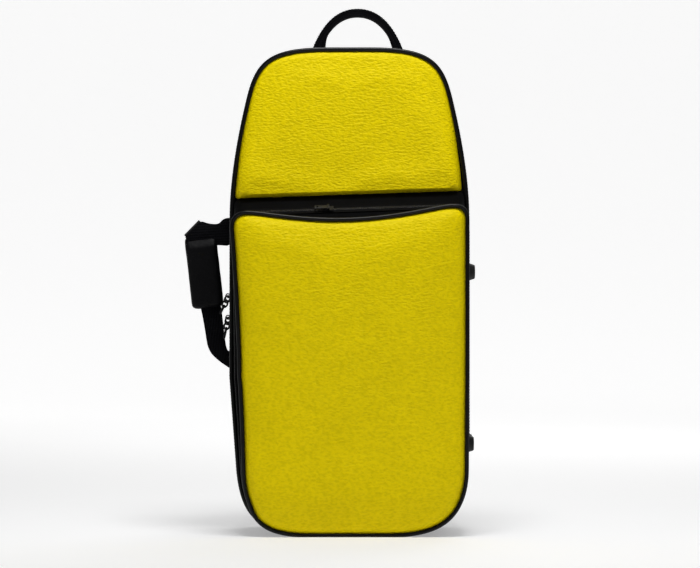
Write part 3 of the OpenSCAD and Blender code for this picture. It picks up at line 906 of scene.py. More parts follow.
def upper_loop(corner_r, count=300):
    """Loop of the upper panel: the case's outline above the band line, with rounded lower corners."""
    low_share = lambda z: ease(-z, -0.60, -0.46)
    whole = case_loop(lambda z: (4.6 + 1.8 * low_share(z)) * MM, 1400,
                      lambda z: (4.8 + 3.6 * low_share(z)) * MM)
    over = [p for p in whole if p.y > band_line(p.x) + corner_r]
    # Outline runs clockwise from the top; start at the lower left
    split = max(range(len(over)), key=lambda i: (over[i] - over[i - 1]).length)
    arc = over[split:] + over[:split]
    a, b = arc[-1], arc[0]
    low_a = Vector((a.x, band_line(a.x)))
    low_b = Vector((b.x, band_line(b.x)))
    toward = (low_b - low_a).normalized()
    turn_a = corner(a, low_a, low_a + toward * corner_r, 8)
    turn_b = corner(low_b - toward * corner_r, low_b, b, 8)
    return resample(arc + turn_a[1:] + [low_a + toward * corner_r] + turn_b, count)


def pebbled(obj, amount, scale, seed):
    """Moves the surface by soft noise along its normals, for the unevenness of hand-fitted cover."""
    offset = Vector((seed * 3.1, seed * 1.7, seed * 0.9))
    for vertex in obj.data.vertices:
        place = vertex.co / scale
        rise = noise.noise(place + offset) + 0.5 * noise.noise(place * 2.3 + offset)
        vertex.co += vertex.normal * (rise * amount)


def loop_distance(loop):
    """Function giving how far a place lies from a loop, seen from the front."""
    tree = tree_of([Vector((p.x, 0, p.y)) for p in resample(loop, 900)])
    return lambda place: tree.find((place.x, 0, place.z))[2]


class CASE_OT_upper_panel(bpy.types.Operator):
    """Padded yellow panel of the lid's upper part"""
    bl_idname = "case.upper_panel"
    bl_label = "Upper panel"

    def execute(self, context):
        crown = context.scene.case_sizes.upper_crown
        loop = upper_loop(3.5 * MM)
        roll = 5 * MM

        def height(away, x, z):
            edge = 3.2 * MM * math.sqrt(1 - (1 - min(1, away / roll)) ** 2)
            # Padding sags: it rolls in quickly at the lower edge, and slowly at the top
            swell = 1 - (1 - min(1, away / ((6 + 54 * ease(z, 0.465, 0.57)) * MM))) ** 2
            return 0.4 * MM + edge + crown * 0.95 * swell

        pad = crowned("upper_panel_cover", loop, lid_front, height, (0, 0.535, 0.575), rings=26)
        puff(pad, 3.0, 2 * MM, 9 * MM, loop_distance(loop), reach=15 * MM)
        pebbled(pad, 0.35 * MM, 26 * MM, 2)
        smooth(pad, 60)
        hand_over(pad, LID, "yellow_leather", "upper_panel")
        return {"FINISHED"}


def pocket_top(middle, sag=0.0):
    """Upper edge of the pocket at one depth: tilted like the band, and hollow by sag in its middle."""
    return lambda x: middle + x * BAND_TILT - sag * max(0.0, 1 - (x / (132 * MM)) ** 2) ** 1.25


def ease(value, low, high):
    """Smooth step from 0 at low to 1 at high."""
    t = min(1.0, max(0.0, (value - low) / (high - low)))
    return t * t * (3 - 2 * t)


# Height and inset, in millimetres, of the pocket panel's left edge
LEFT_EDGE = ((0, 10.5), (57, 11.5), (105, 14.2), (150, 16.2), (194, 17.3), (247, 16.6), (314, 13.5),
             (377, 9.3), (425, 5.7), (700, 5.7))


def left_inset(z):
    """How far the pocket panel stands in from the case's left edge: little at the top, more below."""
    for (z1, in1), (z2, in2) in zip(LEFT_EDGE, LEFT_EDGE[1:]):
        if z / MM <= z2:
            return (in1 + (in2 - in1) * (z / MM - z1) / (z2 - z1)) * MM
    return LEFT_EDGE[-1][1] * MM


def right_inset(z):
    """How far the pocket panel stands in from the case's right edge."""
    return (6.6 - 1.4 * ease(-z, -0.2, -0.06)) * MM


def foot_inset(side):
    """The same inset near the base, where the panel comes down to 4 mm above it."""
    return lambda z: 4 * MM + (side(z) - 4 * MM) * ease(z, 0.0, 0.045)


def pocket_ring(share, depth, middle, sag, radius, grow=0.0):
    """A pocket loop at a share of the way from the lid's face to the panel, as places."""
    left, right = foot_inset(left_inset), foot_inset(right_inset)
    root = 6.4 * MM
    loop = pocket_loop(pocket_top(middle, sag), radius,
                       lambda z: min(root, left(z)) * (1 - share) + left(z) * share - grow,
                       lambda z: min(root, right(z)) * (1 - share) + right(z) * share - grow)
    return at_depth(loop, depth)


POCKET_ROOT_Z = BAND_Z - 0.6 * MM


class CASE_OT_pocket(bpy.types.Operator):
    """Front pocket: sloping band and walls, zip tapes, flap, padded panel and piping"""
    bl_idname = "case.pocket"
    bl_label = "Pocket"

    def execute(self, context):
        sizes = context.scene.case_sizes
        root_y = lambda z: lid_front(z) - 0.2 * MM
        zip_y, flap_y = -80 * MM, -95 * MM
        # Wall between the lid's face and the zip
        rings = [pocket_ring(0.0, root_y, POCKET_ROOT_Z, 0, 12 * MM),
                 pocket_ring(0.02, lambda z: root_y(z) - 2.5 * MM, POCKET_ROOT_Z - 1.2 * MM, 0, 12 * MM),
                 pocket_ring(0.18, -72 * MM, 439.5 * MM, 0, 16 * MM),
                 pocket_ring(0.24, -75.5 * MM, 436.8 * MM, 0, 17 * MM),
                 pocket_ring(0.26, -76 * MM, 436.0 * MM, 0, 17 * MM),
                 pocket_ring(0.30, -79.2 * MM, 433.4 * MM, 0, 18 * MM)]
        wall = loft("pocket_wall", rings, caps=(False, False))
        apply_modifier(wall, "SOLIDIFY", thickness=GUSSET_CLOTH, offset=-1.0)
        smooth(wall, 40)
        hand_over(wall, LID, "shell_fabric", "pocket_gusset")
        # Wall between the zip and the panel
        rings = [pocket_ring(0.32, -80.8 * MM, 432.0 * MM, 0, 18 * MM),
                 pocket_ring(0.36, -84 * MM, 429.3 * MM, 0.6 * MM, 19 * MM),
                 pocket_ring(0.38, -84.5 * MM, 428.4 * MM, 0.8 * MM, 19 * MM),
                 pocket_ring(0.70, -90 * MM, 424.3 * MM, 5 * MM, 21 * MM),
                 pocket_ring(0.98, flap_y, 432 * MM, 13.3 * MM, 19 * MM, grow=2.4 * MM)]
        wall = loft("pocket_flap_wall", rings, caps=(False, False))
        apply_modifier(wall, "SOLIDIFY", thickness=GUSSET_CLOTH, offset=-1.0)
        smooth(wall, 40)
        hand_over(wall, FLAP, "shell_fabric", "pocket_flap_gusset")
        # Zip tapes either side of the coil
        for name, body, spans in (
                ("pocket_tape_lid", LID, ((0.22, -75 * MM, 437.3), (0.30, -79.0 * MM, 434.1))),
                ("pocket_tape_flap", FLAP, ((0.31, -81.0 * MM, 432.5), (0.37, -85 * MM, 429.4)))):
            rings = [pocket_ring(share, depth, middle * MM, 0, 18 * MM, grow=1.0 * MM)
                     for share, depth, middle in spans]
            tape = loft(name, rings, caps=(False, False))
            apply_modifier(tape, "SOLIDIFY", thickness=ZIP_CLOTH, offset=-1.0)
            smooth(tape, 40)
            hand_over(tape, body, "zip_tape")
        # Coil, from one side of the pocket's foot round to the other
        line = pocket_ring(0.305, zip_y, 433.2 * MM, 0, 18 * MM, grow=1.7 * MM)
        line = resample(line, round(distances(line, True)[-1] * MM / sizes.tooth_pitch))
        over = [i for i, p in enumerate(line) if p.z > 62 * MM]
        slope = Vector((0, -math.sin(math.radians(52)), -math.cos(math.radians(52))))
        for name, body, sign, node in (("pocket_coil_lid", LID, -1, "pocket_teeth_lid"),
                                       ("pocket_coil_flap", FLAP, 1, "pocket_teeth_flap")):
            ends = []
            for i in over:
                p = line[i] + (line[(i + 1) % len(line)] - line[i]) * (0.25 * sign)
                lean = slope if p.z > 410 * MM else Vector((0, -1, 0))
                ends.append((p + lean * (-0.3 * MM * sign), p + lean * (2.4 * MM * sign)))
            hand_over(threads(name, ends, COIL_TURN), body, "zip_coil", node)

        # Panel
        loop = [Vector((p.x, p.z)) for p in pocket_ring(1.0, 0, 430 * MM, 13.5 * MM, 16 * MM)]
        crown = sizes.pocket_crown

        def height(away, x, z):
            edge = 4.0 * MM * math.sqrt(1 - (1 - min(1, away / (6 * MM))) ** 2)
            swell = 1 - (1 - min(1, away / (62 * MM))) ** 2
            dome = max(0.0, 1 - ((z - 0.19) / 0.29) ** 2)
            return edge + crown * swell * (0.66 + 0.05 * dome)

        panel = crowned("pocket_panel_cover", loop, lambda z: -96 * MM, height, (0, 0.14, 0.29), rings=30)
        puff(panel, 3.0, 2 * MM, 12 * MM, loop_distance(loop), reach=15 * MM)
        pebbled(panel, 0.4 * MM, 34 * MM, 5)
        smooth(panel, 60)
        hand_over(panel, FLAP, "yellow_leather", "pocket_panel")
        radius = sizes.piping_radius * 0.92
        line = pocket_ring(1.0, -97.6 * MM, 432.4 * MM, 13.5 * MM, 19 * MM, grow=2.4 * MM)
        cord = tube("pocket_piping_cord", resample(line, 420), radius)
        hand_over(cord, FLAP, "piping", "pocket_piping")
        return {"FINISHED"}


class CASE_OT_main_zip(bpy.types.Operator):
    """Tapes and coil of the zip round the case, and the cloth hinge on its right side"""
    bl_idname = "case.main_zip"
    bl_label = "Main zip"

    def execute(self, context):
        pitch = context.scene.case_sizes.tooth_pitch
        hinge_low, hinge_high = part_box("hinge_strip_back")
        for name, body, near, far, sign, nodes in (
                ("zip_tape_back_cloth", BACK, -6.6, -3.2, 1, ("zip_tape_back",)),
                ("zip_tape_lid_cloth", LID, -9.4, -12.8, -1, ("zip_tape_lid",))):
            profile = [(4.6, far), (1.9, far), (1.3, far - 0.5 * sign), (1.2, (near + far) / 2), (1.3, near),
                       (2.8, near), (4.6, near)]
            tape = loft(name, [at_depth(case_loop(inset * MM, 300), y * MM) for inset, y in profile],
                        caps=(False, False))
            smooth(tape, 40)
            hand_over(tape, body, "zip_tape", *nodes)
        # The coil runs all round but for the hinge
        length = distances(at_depth(case_loop(1.4 * MM, 900), PART_Y), True)[-1] * MM
        line = at_depth(case_loop(1.4 * MM, round(length / pitch)), PART_Y)
        places = [i for i, p in enumerate(line)
                  if not (p.x > 0.12 and hinge_low.z < p.z < hinge_high.z)]
        for name, body, sign, node in (("zip_coil_back", BACK, 1, "zip_teeth_back"),
                                       ("zip_coil_lid", LID, -1, "zip_teeth_lid")):
            ends = []
            for i in places:
                p = line[i] + (line[(i + 1) % len(line)] - line[i]) * (0.25 * sign)
                ends.append((p - ALONG_Y * (0.4 * MM * sign), p + ALONG_Y * (2.3 * MM * sign)))
            hand_over(threads(name, ends, COIL_TURN), body, "zip_coil", node)
        # Cloth hinge: a strip on each shell that rolls into the fold between them
        for name, body, sign, node in (("hinge_cloth_back", BACK, 1, "hinge_strip_back"),
                                       ("hinge_cloth_lid", LID, -1, "hinge_strip_lid")):
            low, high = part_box(node)
            outer, inner = (high.y, low.y) if sign > 0 else (low.y, high.y)
            rows = []
            for z in [low.z + (high.z - low.z) * i / 60 for i in range(61)]:
                x = high.x
                shape = [(x - 1.3 * MM, outer), (x - 0.3 * MM, outer), (x, outer - sign * 0.6 * MM),
                         (x + 0.05 * MM, (outer + inner) / 2), (x, inner + sign * 1.2 * MM),
                         (x - 0.35 * MM, inner + sign * 0.3 * MM), (x - 1.3 * MM, inner)]
                rows.append([Vector((px, py, z)) for px, py in shape])
            strip = loft(name, rows)
            smooth(strip, 50)
            hand_over(strip, body, "shell_fabric", node)
            for k, inset in enumerate((2.2 * MM, 4.6 * MM)):
                seam = [Vector((high.x + 0.1 * MM, outer - sign * inset, z))
                        for z in (low.z + 4 * MM, high.z - 4 * MM)]
                sew(f"{name}_stitches_{k}", seam, body, "shell_fabric")
        return {"FINISHED"}


# Wire links of a pull: half width, half length, wire radius, and how far each hangs below the pin
LINK = (3.3 * MM, 4.8 * MM, 1.25 * MM)
LINK_DROPS = (3.4 * MM, 10.4 * MM)
BOW = (3.1 * MM, 4.6 * MM, 0.8 * MM)
TAB_DROP, RIB_DROP, RIB_PITCH, RIBS = 11.5 * MM, 17 * MM, 2.6 * MM, 3


class CASE_OT_sliders(bpy.types.Operator):
    """Sliders and pulls of both zips"""
    bl_idname = "case.sliders"
    bl_label = "Sliders and pulls"

    def execute(self, context):
        # Cast bodies, with softened edges
        for name, node, body in (("slider_upper", "zip_slider_upper", "upper_slider"),
                                 ("slider_lower", "zip_slider_lower", "lower_slider"),
                                 ("slider_pocket", "pocket_slider", "pocket_slider")):
            hand_over(from_node(name, node, 0.35 * MM, 2), body, "slider", node)
        # Each pull of the main zip: two wire links, and a ribbed rubber tab that hangs from them
        for name, node, body, slope, length in (
                ("pull_upper", "zip_pull_upper", "upper_pull", 26, 14 * MM),
                ("pull_lower", "zip_pull_lower", "lower_pull", 12, 16 * MM)):
            low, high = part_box(node)
            pin = Vector(((low.x + high.x) / 2, (low.y + high.y) / 2, high.z - 1.4 * MM))
            turn = Matrix.Translation(pin) @ Matrix.Rotation(math.radians(slope), 4, "Y")

            def hang(obj, drop, turn=turn):
                obj.data.transform(turn @ Matrix.Translation((0, 0, -drop)))

            for k, drop in enumerate(LINK_DROPS):
                link = ring_link(f"{name}_link_{k}", *LINK)
                hang(link, drop)
                hand_over(link, body, "slider")
            tab = rounded_block(name + "_tab", (3.0 * MM, 7 * MM, length), 1.2 * MM, 4)
            hang(tab, TAB_DROP + length / 2)
            smooth(tab, 50)
            hand_over(tab, body, "pull", node)
            for k in range(RIBS):
                rib = rounded_block(f"{name}_rib_{k}", (3.8 * MM, 5.4 * MM, 1.1 * MM), 0.45 * MM, 3)
                hang(rib, RIB_DROP + RIB_PITCH * k)
                smooth(rib, 50)
                hand_over(rib, body, "pull")
        tab = from_node("pull_pocket_tab", "pocket_pull", 0.5 * MM, 3)
        hand_over(tab, "pocket_pull", "pull", "pocket_pull")
        # Bows that stand up from the two sliders of the main zip
        for name, node, body in (("bow_upper", "zip_slider_upper", "upper_slider"),
                                 ("bow_lower", "zip_slider_lower", "lower_slider")):
            low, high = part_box(node)
            middle = (low + high) / 2
            bow = ring_link(name, *BOW)
            bow.data.transform(Matrix.Translation((low.x + 0.8 * MM, middle.y, middle.z)))
            hand_over(bow, body, "slider")
        return {"FINISHED"}


def ring_link(name, half_wide, half_long, wire):
    """An oval wire link seen from the front."""
    bpy.ops.object.select_all(action="DESELECT")
    bpy.ops.mesh.primitive_torus_add(major_segments=32, minor_segments=10, major_radius=1,
                                     minor_radius=0.1)
    link = newest(name)
    for vertex in link.data.vertices:
        # Ring radius 1 becomes the oval, and tube radius 0.1 the wire
        around = math.atan2(vertex.co.y, vertex.co.x)
        out = (math.hypot(vertex.co.x, vertex.co.y) - 1) / 0.1 * wire
        lift = vertex.co.z / 0.1 * wire
        vertex.co = ((half_wide + out) * math.cos(around), lift, (half_long + out) * math.sin(around))
    outwards(link)
    smooth(link, 60)
    return link


def soften(points, rounds=2):
    """A closed outline with its corners cut twice, so that webbing turns softly."""
    for _ in range(rounds):
        cut = []
        for a, b in zip(points, points[1:] + points[:1]):
            cut += [a.lerp(b, 0.22), a.lerp(b, 0.78)]
        points = cut
    return points


def plate(name, outline, y, thickness, direction, bevel=0.5 * MM):
    """Flat webbing cut to an outline of (x, z) points, as thick as given, with a soft edge."""
    line = soften(outline)
    bpy.ops.object.select_all(action="DESELECT")
    bpy.ops.mesh.primitive_circle_add(vertices=len(line), radius=1, fill_type="NGON")
    obj = newest(name)
    for vertex, p in zip(obj.data.vertices, line):
        vertex.co = (p.x, y, p.y)
    edit_all(obj)
    bpy.ops.mesh.extrude_region_move(TRANSFORM_OT_translate={"value": (0, thickness, 0)})
    leave()
    outwards(obj)
    apply_modifier(obj, "BEVEL", width=bevel, segments=2, limit_method="ANGLE",
                   angle_limit=math.radians(50))
    smooth(obj, 40)
    along = Vector(direction).normalized()
    cloth_uv(obj, Vector((along.y, 0, -along.x)), Vector((along.x, 0, along.y)))
    return obj


# Outlines of the side handle's straps: distance from the wall, and height, in millimetres
UPPER_STRAP = ((5.2, 424.0), (-5, 423.2), (-9.5, 420.6), (-14, 415.7), (-20, 415.0),
               (-28.6, 416.0), (-39, 419.6), (-49.5, 409.0), (-60.1, 398.1), (-58.2, 394.5),
               (-59.4, 388.5), (-40, 386.2), (-18, 386.6), (5.2, 385.1))
LOWER_STRAP = ((-40, 418.0), (-59, 398.6), (-45.5, 325.0), (-38.2, 299.3), (-33.6, 275.0),
               (-30.4, 253.4), (-28, 245.5), (-23.5, 237.8), (-13, 228.2), (5.2, 216.1),
               (5.2, 242.0), (-1.6, 242.4), (-4.0, 248.0), (-5.4, 256.0), (-8, 277.7),
               (-10.5, 299.3), (-17, 340.0), (-23, 386.0), (-23, 410.0))


class CASE_OT_side_handle(bpy.types.Operator):
    """Side handle: folded webbing, wrapped padded grip and the tabs sewn to the wall"""
    bl_idname = "case.side_handle"
    bl_label = "Side handle"

    def execute(self, context):
        low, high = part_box("side_handle_strap")
        middle_y = (low.y + high.y) / 2
        wall = high.x - 1.5 * MM
        top, foot = high.z, low.z
        width = 33 * MM

        def at(dx, z):
            return Vector((wall + dx * MM, z * MM))

        # Upper strap lies flat, and folds over itself along a slanting edge
        upper = [at(*p) for p in UPPER_STRAP]
        front = plate("side_strap_upper", upper, middle_y - 4.4 * MM, 2.4 * MM, (1, 0.06))
        hand_over(front, HANDLE, "webbing", "side_handle_strap")
        # Lower strap comes out of the fold, runs down through the grip and turns in to the wall
        lower = [at(*p) for p in LOWER_STRAP]
        back = plate("side_strap_lower", lower, middle_y - 1.0 * MM, 2.4 * MM, (0.12, 1))
        hand_over(back, HANDLE, "webbing")
        # Rolled edge where the upper strap turns into the lower one
        edge = [at(-39.6, 419), at(-59.6, 398.5)]
        roll = tube("side_strap_fold", at_depth(edge, middle_y - 1.4 * MM), 2.6 * MM, False)
        hand_over(roll, HANDLE, "grip_leather", material="rubber")

        # Grip: a soft block wrapped round the strap and closed with an overlapping flap
        g_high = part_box("side_handle_grip")[1]
        lean = math.radians(6.4)
        place = Matrix.Translation((-0.1919, middle_y, 0.3014)) @ Matrix.Rotation(-lean, 4, "Y")
        grip = rounded_block("side_grip_wrap", (43.5 * MM, 21 * MM, 99 * MM), 6 * MM, 30)
        # Its top end is drawn flat, under the fold of the strap
        for vertex in grip.data.vertices:
            vertex.co.y *= 1 - 0.74 * ease(vertex.co.z, 31 * MM, 48 * MM)
        grip.data.transform(place @ Matrix.Translation((0, 0, 49.5 * MM)))
        back_to = place.inverted()
        # Only the middle of the wrap is free to swell
        free = lambda p: 1 * MM if abs((back_to @ p).z - 42 * MM) < 34 * MM else 0.0
        puff(grip, 2.5, 3 * MM, 1 * MM, free)
        pebbled(grip, 0.35 * MM, 16 * MM, 9)
        smooth(grip, 60)
        hand_over(grip, HANDLE, "grip_leather", "side_handle_grip")
        # Flap of the wrap on its inner side, with a stitched hem
        flap = rounded_block("side_grip_flap", (37 * MM, 1.6 * MM, 68 * MM), 0.7 * MM, 10)
        flap.data.transform(place @ Matrix.Translation((0, g_high.y - middle_y - 1.4 * MM, 40 * MM)))
        smooth(flap, 50)
        hand_over(flap, HANDLE, "grip_leather")
        hem = [place @ Vector((x * MM, g_high.y - middle_y - 0.5 * MM, z * MM))
               for x, z in ((-15.5, 9), (-15.5, 71), (15.5, 71), (15.5, 9))]
        sew("side_grip_stitches", hem, HANDLE, "grip_leather", True)

        # Tabs that hold both ends to the wall
        for k, z in enumerate((foot, top - width)):
            tab = rounded_block(f"side_tab_{k}", (1.8 * MM, 29 * MM, width), 0.6 * MM, 4)
            tab.data.transform(Matrix.Translation((-HALF_W - 0.75 * MM, middle_y, z + width / 2)))
            cloth_uv(tab, ALONG_Y, ALONG_Z)
            smooth(tab, 40)
            hand_over(tab, BACK, "webbing", *(("side_handle_tabs",) if k == 0 else ()))
            box = [Vector((-HALF_W - 1.75 * MM, middle_y + y * MM, z + width / 2 + dz * MM))
                   for y, dz in ((-12, -14), (12, -14), (12, 14), (-12, 14))]
            sew(f"side_tab_stitches_{k}", box, BACK, "webbing", True)
        return {"FINISHED"}


def rounded_block(name, size, radius, cuts):
    """A cube at its size with its edges rounded; when cuts is above 12 its faces are also divided evenly by
    a voxel remesh and smoothed.
    """
    bpy.ops.object.select_all(action="DESELECT")
    bpy.ops.mesh.primitive_cube_add(size=1)
    obj = newest(name)
    obj.scale = size
    settle(obj)
    apply_modifier(obj, "BEVEL", width=radius, segments=5, limit_method="NONE")
    if cuts > 12:
        apply_modifier(obj, "REMESH", mode="VOXEL", voxel_size=max(size) / cuts)
        apply_modifier(obj, "SMOOTH", iterations=3, factor=0.5)
    return obj


class CASE_OT_top_handle(bpy.types.Operator):
    """Top handle: layered webbing in an arch, sewn down at both ends"""
    bl_idname = "case.top_handle"
    bl_label = "Top handle"

    def execute(self, context):
        low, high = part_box("top_handle")
        tab_low, tab_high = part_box("top_handle_tabs")
        middle_x = (tab_low.x + tab_high.x) / 2
        middle_y = (low.y + high.y) / 2
        half = (tab_high.x - tab_low.x) / 2 - 12 * MM + 7 * MM
        rise = high.z - CASE_H + 6 * MM
        thick = 10 * MM
        depth = high.y - low.y
        root = CASE_H - 6 * MM

        def half_arch(drop):
            """Left half of the arch, drop below its outer face."""
            w, t = half - drop, rise - drop
            return bezier(Vector((-w, 0)), Vector((-0.8 * w, 0.55 * t)), Vector((-0.52 * w, t)),
                          Vector((0, t)), 30)

        for k in range(3):
            drop = thick * (k + 0.5) / 3
            arch = half_arch(drop)
            arch = arch + [Vector((0, rise - drop))] + [Vector((-p.x, p.y)) for p in reversed(arch)]
            line = resample([Vector((middle_x + p.x, middle_y, root + p.y)) for p in arch], 90, False)
            line = [p for p in line if p.z > CASE_H - 4.4 * MM]
            strap = ribbon(f"top_strap_{k}", line, [Vector((0, 1, 0))] * len(line),
                           [depth - (0.8 * MM if k == 1 else 0)] * len(line), thick / 3 + 0.05 * MM)
            hand_over(strap, BACK, "webbing", *(("top_handle",) if k == 0 else ()))
            if k == 0:
                for n, y in enumerate((-9.5, 9.5)):
                    hub = Vector((middle_x, middle_y, CASE_H))
                    row = [p + Vector((0, y * MM, 0)) + (p - hub).normalized() * (thick / 6 + 0.1 * MM)
                           for p in line[6:-6]]
                    sew(f"top_strap_stitches_{n}", row, BACK, "webbing")
        # Doubled ends, wedge-shaped against the inside of the arch
        inner = half_arch(thick)
        for name, side, most in (("left", 1, 7.6), ("right", -1, 3.4)):
            leg = [p for p in inner if 1.5 * MM < p.y < 32 * MM]
            edge = [Vector((p.x + (most * (1 - ease(p.y, 4 * MM, 33 * MM)) + 0.1) * MM, p.y))
                    for p in leg]
            shape = [p - Vector((0.8 * MM, 0)) for p in leg] + edge[::-1]
            shape = [Vector((middle_x + p.x * side, root + p.y)) for p in shape]
            wedge = plate("top_strap_end_" + name, shape, low.y + 0.5 * MM, depth - 1 * MM, (0.3, 1),
                          0.4 * MM)
            hand_over(wedge, BACK, "webbing")
        tabs = from_node("top_tabs", "top_handle_tabs", 0.5 * MM, 2)
        cloth_uv(tabs, ALONG_Y, ALONG_X)
        hand_over(tabs, BACK, "webbing", "top_handle_tabs")
        return {"FINISHED"}


# Sections of a foot and of its screw, as radius and height in millimetres from the wall
FOOT_SECTION = [(0, 0), (11.5, 0), (11.5, 1.2), (11.0, 2.2), (9.6, 6.6), (8.9, 7.7), (7.5, 8.0),
                (5.0, 8.0), (4.3, 7.5), (4.1, 4.0), (0, 4.0)]
SCREW_SECTION = [(0, 3.2), (3.7, 3.2), (3.9, 4.0), (3.5, 5.2), (2.4, 5.9), (1.5, 6.1), (0, 6.1)]


class CASE_OT_feet(bpy.types.Operator):
    """Moulded rubber feet on the right side, with the screws that hold them"""
    bl_idname = "case.feet"
    bl_label = "Feet"

    def execute(self, context):
        for body, node, screws in ((BACK, "feet_back", "foot_screws_back"),
                                   (LID, "feet_lid", "foot_screws_lid")):
            low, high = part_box(node)
            radius = (high.y - low.y) / 2
            middle_y = (high.y + low.y) / 2
            for k, z in enumerate((low.z + radius, high.z - radius)):
                # Below its hip the wall leans in a little
                lean = RIGHT_IN * MM * (HIP_Z * MM - z) / ((HIP_Z - CORNER_Z) * MM) if k == 0 else 0
                base = HALF_W - lean
                foot = turned(f"{node}_{k}", FOOT_SECTION, 40, base, middle_y, z)
                hand_over(foot, body, "rubber", *((node,) if k == 0 else ()))
                head = turned(f"{screws}_{k}", SCREW_SECTION, 24, base, middle_y, z)
                cross_slot(head, base + 6.1 * MM, middle_y, z)
                hand_over(head, body, "steel", *((screws,) if k == 0 else ()))
        return {"FINISHED"}


def turned(name, profile, steps, x, y, z):
    """A turned piece whose profile of (radius, height) is spun about an axis along X."""
    bpy.ops.object.select_all(action="DESELECT")
    bpy.ops.mesh.primitive_circle_add(vertices=len(profile), radius=1)
    obj = newest(name)
    mesh = bmesh.new()
    row = [mesh.verts.new((h * MM, r * MM, 0)) for r, h in profile]
    for a, b in zip(row, row[1:]):
        mesh.edges.new((a, b))
    mesh.to_mesh(obj.data)
    mesh.free()
    edit_all(obj)
    bpy.ops.mesh.spin(steps=steps, angle=2 * math.pi, center=(0, 0, 0), axis=(1, 0, 0))
    leave()
    outwards(obj)
    obj.data.transform(Matrix.Translation((x, y, z)))
    smooth(obj, 35)
    return obj


def cross_slot(head, x, y, z):
    """Cuts a cross recess into a screw's head with two thin blocks."""
    for size in ((2.4, 0.9, 4.4), (2.4, 4.4, 0.9)):
        bpy.ops.object.select_all(action="DESELECT")
        bpy.ops.mesh.primitive_cube_add(size=1, location=(x, y, z))
        cutter = bpy.context.view_layer.objects.active
        cutter.scale = [s * MM for s in size]
        settle(cutter)
        apply_modifier(head, "BOOLEAN", object=cutter, operation="DIFFERENCE", solver="EXACT")
        bpy.data.objects.remove(cutter)
    smooth(head, 35)


def grid_solid(name, low, high, step, front, back):
    """A slab over a rectangle seen from the front, its front face following front(x, z)."""
    across = round((high.x - low.x) / step)
    up = round((high.z - low.z) / step)
    points, faces = [], []
    for k in range(up + 1):
        z = low.z + (high.z - low.z) * k / up
        for i in range(across + 1):
            x = low.x + (high.x - low.x) * i / across
            points.append(Vector((x, front(x, z), z)))
    row = across + 1
    for k in range(up):
        for i in range(across):
            a = k * row + i
            faces.append((a, a + 1, a + row + 1, a + row))
    rim = (list(range(row)) + [k * row + across for k in range(1, up + 1)]
           + [up * row + i for i in range(across - 1, -1, -1)] + [k * row for k in range(up - 1, 0, -1)])
    first = len(points)
    points += [Vector((points[k].x, back, points[k].z)) for k in rim]
    for i, k in enumerate(rim):
        j = (i + 1) % len(rim)
        faces.append((k, rim[j], first + j, first + i))
    faces.append([first + i for i in range(len(rim))])
    obj = mesh_object(name, points, faces)
    outwards(obj)
    return obj


def in_hull(x, z, circles):
    """Distance inside the outline stretched round two circles; negative outside it."""
    (ax, az, ar), (bx, bz, br) = circles
    length = math.hypot(bx - ax, bz - az)
    ux, uz = (bx - ax) / length, (bz - az) / length
    along = (x - ax) * ux + (z - az) * uz
    aside = abs((x - ax) * -uz + (z - az) * ux)
    sine = (ar - br) / length
    cosine = math.sqrt(1 - sine * sine)
    # Place on the middle line from which the nearest side is square
    foot = min(length, max(0.0, along + aside * sine / cosine))
    radius = ar + (br - ar) * foot / length
    return radius - math.hypot(along - foot, aside)


# The bed's hollow is stretched round pairs of circles: x, z and radius in millimetres
BASE, NECK, BEND, BELL = (-55, 92, 46), (-20, 560, 30), (38, 98, 46), (56, 300, 62)
HOLLOWS = ((BASE, NECK), (BASE, BEND), (BEND, BELL))
COMPARTMENT = (34, 118, 400, 530)
LIP, FLOOR_DEPTH = 5.0, 57.5
QUILT = 84 * MM


